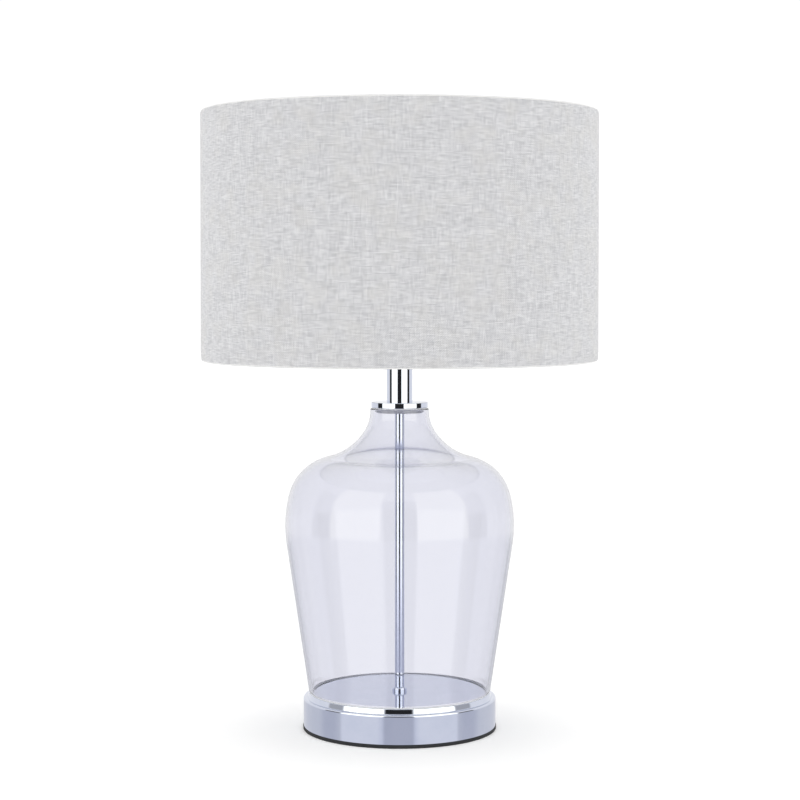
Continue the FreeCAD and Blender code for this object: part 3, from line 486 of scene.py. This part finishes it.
# dark and light colour, patch scale, roughness range, grain scale, grain height in metres
MOTTLED = {
    "gland_rubber": ((0.012, 0.012, 0.013), (0.028, 0.028, 0.030), 90, (0.5, 0.7), 900, 0.00006),
    "zinc": ((0.50, 0.51, 0.53), (0.68, 0.68, 0.69), 260, (0.22, 0.42), 700, 0.00003),
    "brass": ((0.62, 0.43, 0.17), (0.76, 0.56, 0.26), 120, (0.20, 0.40), 900, 0.00002),
    "clear_ring": ((0.86, 0.87, 0.91), (0.92, 0.93, 0.96), 70, (0.28, 0.45), 500, 0.00002),
    "nylon": ((0.80, 0.81, 0.87), (0.88, 0.89, 0.94), 60, (0.30, 0.48), 400, 0.00003),
    "holder_white": ((0.74, 0.74, 0.72), (0.81, 0.81, 0.79), 70, (0.26, 0.40), 1400, 0.00002),
    "porcelain": ((0.66, 0.64, 0.59), (0.76, 0.74, 0.69), 110, (0.45, 0.65), 700, 0.00005),
    "shade_lining": ((0.80, 0.80, 0.78), (0.87, 0.87, 0.85), 26, (0.42, 0.58), 650, 0.00006),
    "white_wire": ((0.74, 0.74, 0.74), (0.83, 0.83, 0.83), 130, (0.25, 0.42), 1100, 0.00004),
    "opal": ((0.82, 0.82, 0.79), (0.87, 0.87, 0.85), 40, (0.28, 0.38), 500, 0.00002),
    "bulb_white": ((0.76, 0.76, 0.75), (0.82, 0.82, 0.81), 60, (0.32, 0.46), 1300, 0.00003),
    "nickel": ((0.58, 0.56, 0.53), (0.70, 0.69, 0.66), 150, (0.16, 0.34), 900, 0.00003),
    "bulb_black": ((0.010, 0.010, 0.012), (0.022, 0.022, 0.025), 80, (0.10, 0.22), 500, 0.00002),
    "solder": ((0.40, 0.40, 0.41), (0.56, 0.56, 0.57), 300, (0.30, 0.55), 700, 0.00008),
    "terminal_white": ((0.70, 0.70, 0.67), (0.79, 0.79, 0.76), 80, (0.40, 0.56), 900, 0.00004),
    "lead_brown": ((0.095, 0.040, 0.018), (0.135, 0.060, 0.030), 140, (0.38, 0.52), 900, 0.00003),
    "lead_blue": ((0.012, 0.055, 0.30), (0.020, 0.080, 0.38), 140, (0.38, 0.52), 900, 0.00003),
    "lead_green": ((0.14, 0.33, 0.018), (0.62, 0.58, 0.03), 60, (0.38, 0.52), 900, 0.00003),
}
MORE_VALUES = {slot: {"Metallic": 1.0} for slot in ("zinc", "brass", "nickel", "solder")}
MORE_VALUES["opal"] = {"Subsurface_Weight": 0.15, "Subsurface_Radius": (1.0, 1.0, 1.0),
                       "Subsurface_Scale": 0.002}
FINISHES = {"foam_pad": foam_finish(), "chrome": chrome_finish(), "iron": iron_finish(),
            "clear_glass": glass_finish(), "linen": linen_finish()}
for slot, row in MOTTLED.items():
    FINISHES[slot] = mottled(slot, *row, MORE_VALUES.get(slot, {}))
for node, made in NODES.items():
    for place in made.material_slots:
        place.material = FINISHES[SLOT_OF[node]]


def finished(piece, node, body):
    """Gives a new piece its material, hides the CAD node that it stands for, and hangs it on the body it
    rides on.
    """
    slot = SLOT_OF[node]
    piece.data.materials.clear()
    piece.data.materials.append(FINISHES[slot])
    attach(piece, body)
    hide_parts(node)

# ---- base -------------------------------------------------------------------------------------------

BASE_COLUMNS = 480
GLAND_Z, GLAND_HOLE = 15.0, 5.05  # height and radius of the cable hole, in millimetres
WINDOW_COLUMNS, WINDOW_ROWS = 14, 14  # cells of the wall's grid that the hole takes up
SHARP_ANGLE = 40  # degrees between faces from which an edge of the base is sharp


def base_section():
    """The spun sheet's section, foot first, and the rows where the cable hole's window starts."""
    lo, hi = box_mm("base_shell")
    foot, deck, outer = lo[2], hi[2], hi[0]
    wall, lip, ledge, hole = 1.2, 5.0, 28.4, 4.25
    riser_low, riser_top = 81.9, 80.75
    rows = [GLAND_Z + k - WINDOW_ROWS / 2 for k in range(WINDOW_ROWS + 1)]
    corners = [(outer - lip, foot), (outer, foot, 0.3), *((outer, z) for z in rows), (outer, ledge - 1.9),
               (outer, ledge, 1.5), (riser_low + 0.8, ledge), (riser_low, ledge, 0.5), (riser_top, deck, 0.9),
               (riser_top - 1.2, deck), (hole + 0.4, deck), (hole, deck, 0.2), (hole, deck - wall),
               (riser_top - wall, deck - wall, 0.4), (riser_low - wall, ledge - wall, 0.4),
               (outer - wall, ledge - wall, 0.6), *((outer - wall, z) for z in reversed(rows)),
               (outer - wall, foot + wall, 0.4), (outer - lip, foot + wall)]
    path = rounded(corners, 12)
    first = [int(np.argmin(np.hypot(path[:, 0] - r, path[:, 1] - z)))
             for r, z in ((outer, rows[0]), (outer - wall, rows[-1]))]
    return path, first


def make_base():
    """The base, turned, with the round cable hole let into the grid of its back wall, outside and inside."""
    path, first = base_section()
    points, faces, _ = lathe_shell(path, BASE_COLUMNS)
    points = [tuple(p) for p in points]
    middle = BASE_COLUMNS // 4
    left, right = middle - WINDOW_COLUMNS // 2, middle + WINDOW_COLUMNS // 2
    cut = {row for start in first for row in range(start, start + WINDOW_ROWS)}
    faces = [face for face in faces
             if not (face[0] // BASE_COLUMNS in cut and left <= face[0] % BASE_COLUMNS < right)]
    rings = []
    for start in first:
        low, high = start, start + WINDOW_ROWS
        edge = ([(low, c) for c in range(left, right)] + [(r, right) for r in range(low, high)]
                + [(high, c) for c in range(right, left, -1)] + [(r, left) for r in range(high, low, -1)])
        radius = path[start][0]
        loop = [row * BASE_COLUMNS + column for row, column in edge]
        flat = [((column - middle) * TAU / BASE_COLUMNS * radius, path[row][1] - GLAND_Z)
                for row, column in edge]
        for share in (0.6, 0.25, 0.0):
            ring = []
            for u, v in flat:
                size = math.hypot(u, v)
                near = (GLAND_HOLE * u / size, GLAND_HOLE * v / size)
                x, y = near[0] + (u - near[0]) * share, near[1] + (v - near[1]) * share
                angle = REAR + x / radius
                points.append((radius * math.cos(angle), radius * math.sin(angle), GLAND_Z + y))
                ring.append(len(points) - 1)
            count = len(ring)
            faces += [(loop[k], loop[(k + 1) % count], ring[(k + 1) % count], ring[k]) for k in range(count)]
            loop = ring
        rings.append(loop)
    outside, inside = rings
    partner = [min(inside, key=lambda other: math.dist(points[point], points[other])) for point in outside]
    count = len(outside)
    faces += [(outside[k], outside[(k + 1) % count], partner[(k + 1) % count], partner[k])
              for k in range(count)]
    return points, faces


base = make_mesh("base_spun", *make_base())
base.data.set_sharp_from_angle(angle=math.radians(SHARP_ANGLE))
finished(base, "base_shell", "lamp")

# ---- glass ------------------------------------------------------------------------------------------

GLASS_COLUMNS = 420
GLASS_FOOT_R, FLARE_LENGTH, FLARE_ROWS = 80.5, 132.3, 10
FLARE_HEADING = math.radians(81.4)
GLASS_ARCS = ((109.8, 23.3), (44.6, 62.6), (-53.7, 43.6), (-33.7, 33.7))  # radius in mm, sweep in degrees


def glass_section():
    """The bell's section: a straight flare, four arcs and a short straight lip, 3 mm thick."""
    foot_z, lip_z = (corner[2] for corner in box_mm("glass_body"))
    wall, edge = 3.0, 1.3
    heading = FLARE_HEADING
    here = np.array([GLASS_FOOT_R, foot_z])
    outer, lean = [], []

    def add(point, direction):
        outer.append(point.copy())
        lean.append((math.sin(direction), -math.cos(direction)))

    for k in range(FLARE_ROWS + 1):
        add(here + np.array([math.cos(heading), math.sin(heading)]) * FLARE_LENGTH * k / FLARE_ROWS, heading)
    here = outer[-1].copy()
    for radius, sweep in GLASS_ARCS:
        left = np.array([-math.sin(heading), math.cos(heading)])
        centre = here + left * radius
        turn = math.radians(sweep) * (1 if radius > 0 else -1)
        count = 26 if sweep > 40 else 18
        start = heading
        for k in range(1, count + 1):
            heading = start + turn * k / count
            away = np.array([math.sin(heading), -math.cos(heading)]) * radius
            add(centre + away, heading)
        here = outer[-1].copy()
    outer, lean = np.array(outer), np.array(lean)
    lip_r = outer[-1][0]
    inner = outer - lean * wall
    low, high = foot_z + edge + 1.0, lip_z - edge - 0.3
    inner = inner[(inner[:, 1] > low) & (inner[:, 1] < high)]
    outer = outer[(outer[:, 1] > low) & (outer[:, 1] < high)]
    drop = inner[0][1] - foot_z
    inner_foot = inner[0] - np.array([drop / math.tan(FLARE_HEADING), drop])
    corners = [(GLASS_FOOT_R, foot_z, edge), *map(tuple, outer), (lip_r, lip_z, edge),
               (lip_r - wall, lip_z, edge), *map(tuple, inner[::-1]), (*inner_foot, edge)]
    return rounded(corners, 7)


glass = joined("glass_bell", [lathe_shell(glass_section(), GLASS_COLUMNS)])
finished(glass, "glass_body", "lamp")

# ---- shade ------------------------------------------------------------------------------------------

COVER_LOW, COVER_HIGH = box_mm("shade_cover")
SHADE_R = COVER_HIGH[0]
SHADE_Z0, SHADE_Z1 = COVER_LOW[2], COVER_HIGH[2]
TOP_LOW, TOP_HIGH = box_mm("shade_top_ring")
WIRE_R = (TOP_HIGH[2] - TOP_LOW[2]) / 2
RING_R = TOP_HIGH[0] - WIRE_R
TOP_RING_Z = (TOP_LOW[2] + TOP_HIGH[2]) / 2
LOW_RING_Z = SHADE_Z0 + SHADE_Z1 - TOP_RING_Z
ARM_ANGLES = [REAR + TAU * k / 3 for k in range(3)]
LINER_INSIDE = 173.75  # the liner's inner radius, which the turned-in hem lies against
CLOTH, LAP = 0.42, 12.0  # thickness of the linen and width of its lap at the rear
HEM_ROWS, WALL_ROWS = 36, 16


def lengths_along(path):
    """Distance from the start of a path to each of its points."""
    return np.r_[0, np.cumsum(np.linalg.norm(np.diff(path, axis=0), axis=1))]


def points_at(wanted, along, path):
    """Points, or directions, at the wanted distances along a path."""
    return np.stack([np.interp(wanted, along, path[:, 0]), np.interp(wanted, along, path[:, 1])], 1)


def cloth_path():
    """Middle line of the linen from its lower raw edge, round the wires, to its upper raw edge."""
    roll = WIRE_R + 0.12 + CLOTH / 2
    z = LOW_RING_Z
    wall = SHADE_R - CLOTH / 2
    inside = LINER_INSIDE - CLOTH / 2 - 0.05
    # the turned-in edge, flat on the liner
    half = [(inside, z + up) for up in np.linspace(9.0, 4.6, 5)]
    # from the liner in to the wire
    for t in np.linspace(0, 1, 9)[1:]:
        half.append((inside - (inside - (RING_R - roll * 0.64)) * eased(t), z + 4.6 - t * 3.4))
    # round the wire's inner side and its foot
    for a in np.radians(np.linspace(140, 270, 15)):
        half.append((RING_R + roll * math.cos(a), z + roll * math.sin(a)))
    # out and up into the wall
    for a in np.radians(np.linspace(270, 360, 9)[1:]):
        half.append((RING_R + (wall - RING_R) * math.cos(a), z + 1.6 + (roll + 1.6) * math.sin(a)))
    half = np.array(half)
    along = lengths_along(half)
    half = points_at(np.linspace(0, along[-1], HEM_ROWS), along, half)
    other = half[::-1].copy()
    other[:, 1] = SHADE_Z0 + SHADE_Z1 - other[:, 1]
    heights = np.linspace(half[-1][1], other[0][1], WALL_ROWS + 2)[1:-1]
    middle = np.stack([np.full(WALL_ROWS, half[-1][0]), heights], 1)
    return np.concatenate([half, middle, other])


def wave(u, seed, scale):
    """A smooth repeatable ripple along the shade, between -1 and 1."""
    return (math.sin(u * scale + seed) + 0.6 * math.sin(u * scale * 2.3 + seed * 1.7)
            + 0.4 * math.sin(u * scale * 4.9 + seed * 0.6)) / 2


def make_cover():
    """The linen: one strip wrapped once round, lapped at the rear and turned in over both rings."""
    columns, hem = 520, 12.0
    uneven, notch_depth, notch_half, notch_soft = 1.6, 8.6, 3.2, 2.5
    path = cloth_path()
    rows = len(path)
    length = lengths_along(path)
    total = length[-1]
    start = REAR + LAP / 2 / SHADE_R
    sweep = TAU + LAP / SHADE_R
    strip = sweep * SHADE_R
    turning = np.roll(path, -1, 0) - np.roll(path, 1, 0)
    turning[0], turning[-1] = path[1] - path[0], path[-1] - path[-2]
    turning /= np.linalg.norm(turning, axis=1)[:, None]
    out_dir = np.stack([turning[:, 1], -turning[:, 0]], 1)
    outer, inner = [], []
    shares = np.r_[np.linspace(0, 0.004, 5)[:-1], np.linspace(0.004, 0.996, columns - 8),
                   np.linspace(0.996, 1, 5)[1:]]
    for t in shares:
        angle = start - LAP / SHADE_R + sweep * t
        u = (angle - REAR) * SHADE_R
        # the last stretch lies over the first one
        over = eased((t * strip - (strip - LAP - 5.0)) / 5.0) * (CLOTH + 0.06)
        # the lower edge is cut back round each arm
        off = min(abs((angle - arm + math.pi) % TAU - math.pi) * SHADE_R for arm in ARM_ANGLES)
        notch = eased(1 - (off - notch_half) / notch_soft)
        low_cut = uneven * (0.5 + 0.5 * wave(u, 1.0, 0.021)) + notch * notch_depth
        high_cut = uneven * (0.5 + 0.5 * wave(u, 4.0, 0.018))
        kept = np.interp(length, [0, hem, total - hem, total], [low_cut, hem, total - hem, total - high_cut])
        here = points_at(kept, length, path)
        lean = points_at(kept, length, out_dir)
        lean /= np.linalg.norm(lean, axis=1)[:, None]
        ripple = 0.05 * wave(u, 2.0, 0.045)
        c, s = math.cos(angle), math.sin(angle)
        for side, half_cloth in ((outer, CLOTH / 2), (inner, -CLOTH / 2)):
            edge = here + lean * (half_cloth + over + ripple * 0.5)
            side.append(np.stack([edge[:, 0] * c, edge[:, 0] * s, edge[:, 1]], 1))
    points = np.concatenate([np.concatenate(outer), np.concatenate(inner)])
    sheet = grid_faces(columns, rows, False, False)
    back = columns * rows
    faces = sheet + [tuple(i + back for i in face[::-1]) for face in sheet]
    for i in range(columns - 1):
        for j, flip in ((0, True), (rows - 1, False)):
            quad = (i * rows + j, (i + 1) * rows + j, back + (i + 1) * rows + j, back + i * rows + j)
            faces.append(quad[::-1] if flip else quad)
    for j in range(rows - 1):
        for i, flip in ((0, False), (columns - 1, True)):
            quad = (i * rows + j, i * rows + j + 1, back + i * rows + j + 1, back + i * rows + j)
            faces.append(quad[::-1] if flip else quad)
    return points, faces, (strip, total)


cover_points, cover_faces, cover_cut = make_cover()
cover = make_mesh("shade_fabric", cover_points, cover_faces)
finished(cover, "shade_cover", "shade")


def make_liner():
    """The stiff liner: one strip, lapped a little at the rear."""
    lo, hi = box_mm("shade_liner")
    wall, lap, ramp, columns = 0.4, 9.0, 6.0, 361
    radius = hi[0] - wall - 0.04
    sweep = TAU + lap / radius
    section = rounded([(0, lo[2], 0.12), (wall, lo[2], 0.12), (wall, hi[2], 0.12), (0, hi[2], 0.12)], 3)
    section = dense(section, 12.0)
    points = []
    for k in range(columns):
        angle = REAR + sweep * k / (columns - 1)
        past = (angle - REAR - TAU + ramp / radius) * radius / ramp
        under = max(0.0, min(1.0, past)) ** 2 * (wall + 0.05)
        r = radius + section[:, 0] - under
        points.append(np.stack([r * math.cos(angle), r * math.sin(angle), section[:, 1]], 1))
    rows = len(section)
    faces = grid_faces(columns, rows, False, False)
    for i in range(columns - 1):
        faces.append((i * rows + rows - 1, i * rows, (i + 1) * rows, (i + 1) * rows + rows - 1)[::-1])
    last = (columns - 1) * rows
    faces += [tuple(range(rows)), tuple(range(last, last + rows))[::-1]]
    return np.concatenate(points), faces


liner_points, liner_faces = make_liner()
liner = make_mesh("shade_lining", liner_points, liner_faces)
finished(liner, "shade_liner", "shade")


def make_frame():
    """Fitter, arms and lower ring, with their welds."""
    lo, hi = box_mm("shade_frame")
    plate_top, plate_low = hi[2], hi[2] - 1.2
    hole, rim, arm = 20.6, 27.0, 1.25
    plate = [(hole, plate_low, 0.3), (rim, plate_low, 0.45), (rim, plate_top, 0.45), (hole, plate_top, 0.3)]
    shells = [lathe_shell(rounded(plate, 6), 128)]
    level = plate_low - arm + 0.2
    route = [(24.6, level), (160.0, level - 7.2), (RING_R, LOW_RING_Z + 5.0), (RING_R, LOW_RING_Z)]
    for angle in ARM_ANGLES:
        points = [(r * math.cos(angle), r * math.sin(angle), z) for r, z in route]
        shells.append(tube_shell(soft_path(points, (9.0, 3.6), 8), arm, 18, False))
        c, s = math.cos(angle), math.sin(angle)
        shells.append(bead_shell((RING_R * c, RING_R * s, LOW_RING_Z + 0.9), (1.95, 1.95, 1.1)))
        for side in (-1, 1):
            weld = (25.4 * c - side * 1.15 * s, 25.4 * s + side * 1.15 * c, plate_low - 0.25)
            shells.append(bead_shell(weld, (0.9, 0.9, 0.55)))
    shells.append(tube_shell(ring_path(RING_R, LOW_RING_Z), WIRE_R, 20, True))
    return shells


finished(joined("shade_wire_frame", make_frame()), "shade_frame", "shade")
top_wire = [tube_shell(ring_path(RING_R, TOP_RING_Z), WIRE_R, 20, True),
            bead_shell((0, -RING_R, TOP_RING_Z), (1.1, 1.62, 1.62))]
finished(joined("shade_top_wire", top_wire), "shade_top_ring", "shade")

# ---- lampholder and bulb ----------------------------------------------------------------------------

BULB_PITCH = 3.629  # millimetres to a turn of the bulb's thread


def knuckle(x):
    """A round thread, as rolled in sheet metal."""
    return 0.5 - 0.5 * np.cos(TAU * x)


def flat_crest(x):
    """A moulded thread with flat crests."""
    return eased((0.5 - np.abs(x - 0.5)) * 5.0 - 0.35)


def fade(heights, low, high, soft):
    """From 0 at low up to 1, and down to 0 again at high: where a thread runs in and out."""
    return np.clip((heights - low) / soft[0], 0, 1) * np.clip((high - heights) / soft[1], 0, 1)


def make_holder():
    """The lampholder's sleeve, with its outer thread for the shade ring."""
    lo, hi = box_mm("holder_body")
    z0, z1 = lo[2], hi[2]
    thread_r = 19.2
    corners = [(17.9, z0, 0.2), (24.0, z0, 0.5), (24.0, z0 + 3, 0.5), (thread_r, z0 + 3, 0.4),
               (thread_r, z1, 1.2), (15.4, z1, 0.6), (15.4, z1 - 2.6, 0.3), (17.9, z1 - 2.6, 0.3)]
    section = dense(rounded(corners, 5), 0.25)
    ramp = fade(section[:, 1], z0 + 4.0, z1 - 2.2, (1.5, 1.5))
    lift = ramp * (np.abs(section[:, 0] - thread_r) < 0.02)
    return threaded_shell(section, lift, 2.8, 0.8, flat_crest, 160)


def make_screw_shell():
    """The brass shell that the bulb screws into."""
    lo, hi = box_mm("screw_shell")
    z0, z1 = lo[2], hi[2]
    corners = [(13.36, z0, 0.15), (13.76, z0, 0.15), (13.76, z1, 0.15), (13.36, z1, 0.15)]
    section = dense(rounded(corners, 3), 0.25)
    lift = fade(section[:, 1], z0, z1, (1.5, 1.5))
    return threaded_shell(section, lift, BULB_PITCH, 0.7, knuckle, 128)


def make_bulb_cap():
    """The bulb's screw cap."""
    lo, hi = box_mm("bulb_cap")
    z0, z1 = lo[2], hi[2]
    thread_r = 12.4
    corners = [(2.0, z0), (9.0, z0, 0.3), (thread_r, z0 + 1.6, 0.9), (thread_r, z1 - 1.2, 0.3),
               (13.1, z1, 0.3), (2.0, z1)]
    section = dense(rounded(corners, 4), 0.25)
    ramp = fade(section[:, 1], z0 + 1.6, z1 - 2.0, (2.0, 1.5))
    lift = ramp * (np.abs(section[:, 0] - thread_r) < 0.05)
    return threaded_shell(section, lift, BULB_PITCH, 0.7, knuckle, 160)


finished(joined("lampholder_sleeve", [make_holder()]), "holder_body", "lamp")
finished(joined("lampholder_shell", [make_screw_shell()]), "screw_shell", "lamp")
finished(joined("bulb_screw_cap", [make_bulb_cap()]), "bulb_cap", "bulb")

# ---- studio -----------------------------------------------------------------------------------------


def make_floor():
    """A plain pale floor, a large disc under the lamp."""
    count, radius = 96, 9000.0
    points = [(0, 0, 0), *((radius * math.cos(TAU * k / count), radius * math.sin(TAU * k / count), 0)
                           for k in range(count))]
    faces = [(0, 1 + k, 1 + (k + 1) % count) for k in range(count)]
    made = make_mesh("floor", points, faces)
    f = Finish("floor_white", Roughness=0.9)
    f.shader.inputs["Specular IOR Level"].default_value = 0.0
    f.shader.inputs["Emission Color"].default_value = (1.0, 1.0, 1.0, 1.0)
    f.shader.inputs["Emission Strength"].default_value = 0.06
    f.colour(f.mix(f.noise(3, 2.0), (0.965, 0.965, 0.965), (0.975, 0.975, 0.975)))
    made.data.materials.append(f.material)
    # chrome and glass mirror the studio below the horizon, and not this floor
    made.visible_glossy = False
    made.visible_transmission = False


make_floor()


# directions in degrees: azimuth 0 is towards the camera, and positive is to the right
FRONT_GAP, LEFT_GAP, RIGHT_GAP = (-19.0, 17.0), (-98.0, -74.0), (73.0, 98.0)
LEFT_BOX, RIGHT_BOX = (-74.0, -19.0), (17.0, 73.0)
LEFT_STRIP, RIGHT_STRIP, FRONT_STRIP = (-106.0, -78.0), (76.0, 104.0), (-22.0, 20.0)
BOX_POWER, GAP_DARKNESS = 1.20, 0.975
# how much the level changes below the horizon
BELOW_BOXES, BELOW_FRONT, BELOW_SIDES, BELOW_ALL = 0.15, 0.17, 0.13, 0.23


class World(Finish):
    """The studio round the lamp, as light that depends on direction only."""

    def __init__(self):
        world = bpy.data.worlds.new("studio")
        bpy.context.scene.world = world
        world.use_nodes = True
        self.tree = world.node_tree
        self.tree.nodes.clear()
        out = self.tree.nodes.new("ShaderNodeOutputWorld")
        self.light = self.tree.nodes.new("ShaderNodeBackground")
        self.tree.links.new(self.light.outputs[0], out.inputs[0])
        self.where = self.tree.nodes.new("ShaderNodeTexCoord").outputs["Generated"]


def make_world():
    """Softboxes and dark gaps for mirror reflections, and an even soft light for everything else."""
    w = World()
    x, y, z = w.xyz()
    degrees = 180 / math.pi
    azimuth = w.math("MULTIPLY", w.math("ARCTAN2", x, w.math("MULTIPLY", y, -1.0)), degrees)
    height = w.math("MULTIPLY", w.math("ARCSINE", z), degrees)

    def band(value, ends, soft):
        """1 between the two ends and 0 outside, with soft edges."""
        rise = w.span(value, ends[0] - soft, ends[0] + soft, smooth=True)
        fall = w.span(value, ends[1] - soft, ends[1] + soft, smooth=True)
        return w.math("SUBTRACT", rise, fall)

    front = band(azimuth, FRONT_GAP, 2.5)
    left_gap = band(azimuth, LEFT_GAP, 2.0)
    right_gap = band(azimuth, RIGHT_GAP, 2.0)
    boxes = w.math("ADD", band(azimuth, LEFT_BOX, 2.5), band(azimuth, RIGHT_BOX, 2.5))
    box_foot = w.span(height, -11.5, -7.0, smooth=True)
    box_top = w.span(height, 44.0, 60.0, smooth=True)
    lamps = w.math("MULTIPLY", boxes, w.math("SUBTRACT", box_foot, box_top))
    paler_up = w.span(height, 5.0, 9.0, 1.0, 0.5, smooth=True)
    gaps = w.math("MULTIPLY", w.math("ADD", left_gap, right_gap), paler_up)
    dark = w.math("MULTIPLY", w.math("ADD", front, gaps), band(height, (-9.5, 32.0), 2.0))
    below = w.span(height, -7.0, -12.0, smooth=True)
    side_strips = w.math("ADD", band(azimuth, LEFT_STRIP, 9.0), band(azimuth, RIGHT_STRIP, 9.0))
    soft_front = band(azimuth, FRONT_STRIP, 6.0)
    front_dip = w.math("MULTIPLY", soft_front, BELOW_FRONT)
    strips = w.math("ADD", front_dip, w.math("MULTIPLY", side_strips, BELOW_SIDES))
    box_glow = w.math("MULTIPLY", boxes, BELOW_BOXES)
    low_level = w.math("SUBTRACT", box_glow, w.math("ADD", strips, BELOW_ALL))
    value = w.math("ADD", 1.0, w.math("MULTIPLY", low_level, below))
    value = w.math("ADD", value, w.math("MULTIPLY", lamps, BOX_POWER))
    unlit = w.math("SUBTRACT", 1.0, w.math("MULTIPLY", dark, GAP_DARKNESS))
    value = w.math("MULTIPLY", value, unlit)
    cool = w.math("MULTIPLY", below, w.math("ADD", w.math("MULTIPLY", strips, 2.6), 0.25))
    hue = w.mix(cool, w.mix(lamps, (1.0, 1.0, 1.0), (1.02, 1.01, 0.88)), (0.93, 0.965, 1.14))
    studio = w.mix(1.0, hue, w.vector(value, value, value), "MULTIPLY")
    ray = w.tree.nodes.new("ShaderNodeLightPath").outputs
    mirrored = w.math("GREATER_THAN", ray["Glossy Depth"], 0.5)
    direct = w.math("MAXIMUM", ray["Is Camera Ray"], ray["Is Transmission Ray"])
    sides = w.math("MULTIPLY", w.math("MULTIPLY", x, x), 0.17)
    from_above = w.span(z, -1.0, 1.0, 0.76, 1.18)
    soft = w.math("ADD", from_above, w.math("ADD", w.math("MULTIPLY", y, 0.13), sides))
    glow = w.mix(direct, w.vector(soft, soft, soft), (1.04, 1.04, 1.04))
    w.put(w.light.inputs["Color"], w.mix(mirrored, glow, studio))
    w.light.inputs["Strength"].default_value = 1.0


make_world()

# ---- camera -----------------------------------------------------------------------------------------

CAMERA_DISTANCE, CAMERA_HEIGHT = 1.8126, 0.4012  # metres
CAMERA_TILT = 2.0  # degrees below level

camera = bpy.data.objects.new("camera", bpy.data.cameras.new("camera"))
bpy.context.scene.collection.objects.link(camera)
camera.location = (0.0, -CAMERA_DISTANCE, CAMERA_HEIGHT)
camera.rotation_euler = (math.radians(90 - CAMERA_TILT), 0, 0)
camera.data.sensor_width = 36
camera.data.lens = 92.25
camera.data.shift_x = 0.0005
camera.data.shift_y = -0.0655
camera.data.clip_end = 50
bpy.context.scene.camera = camera
bpy.context.scene.view_settings.view_transform = "Standard"
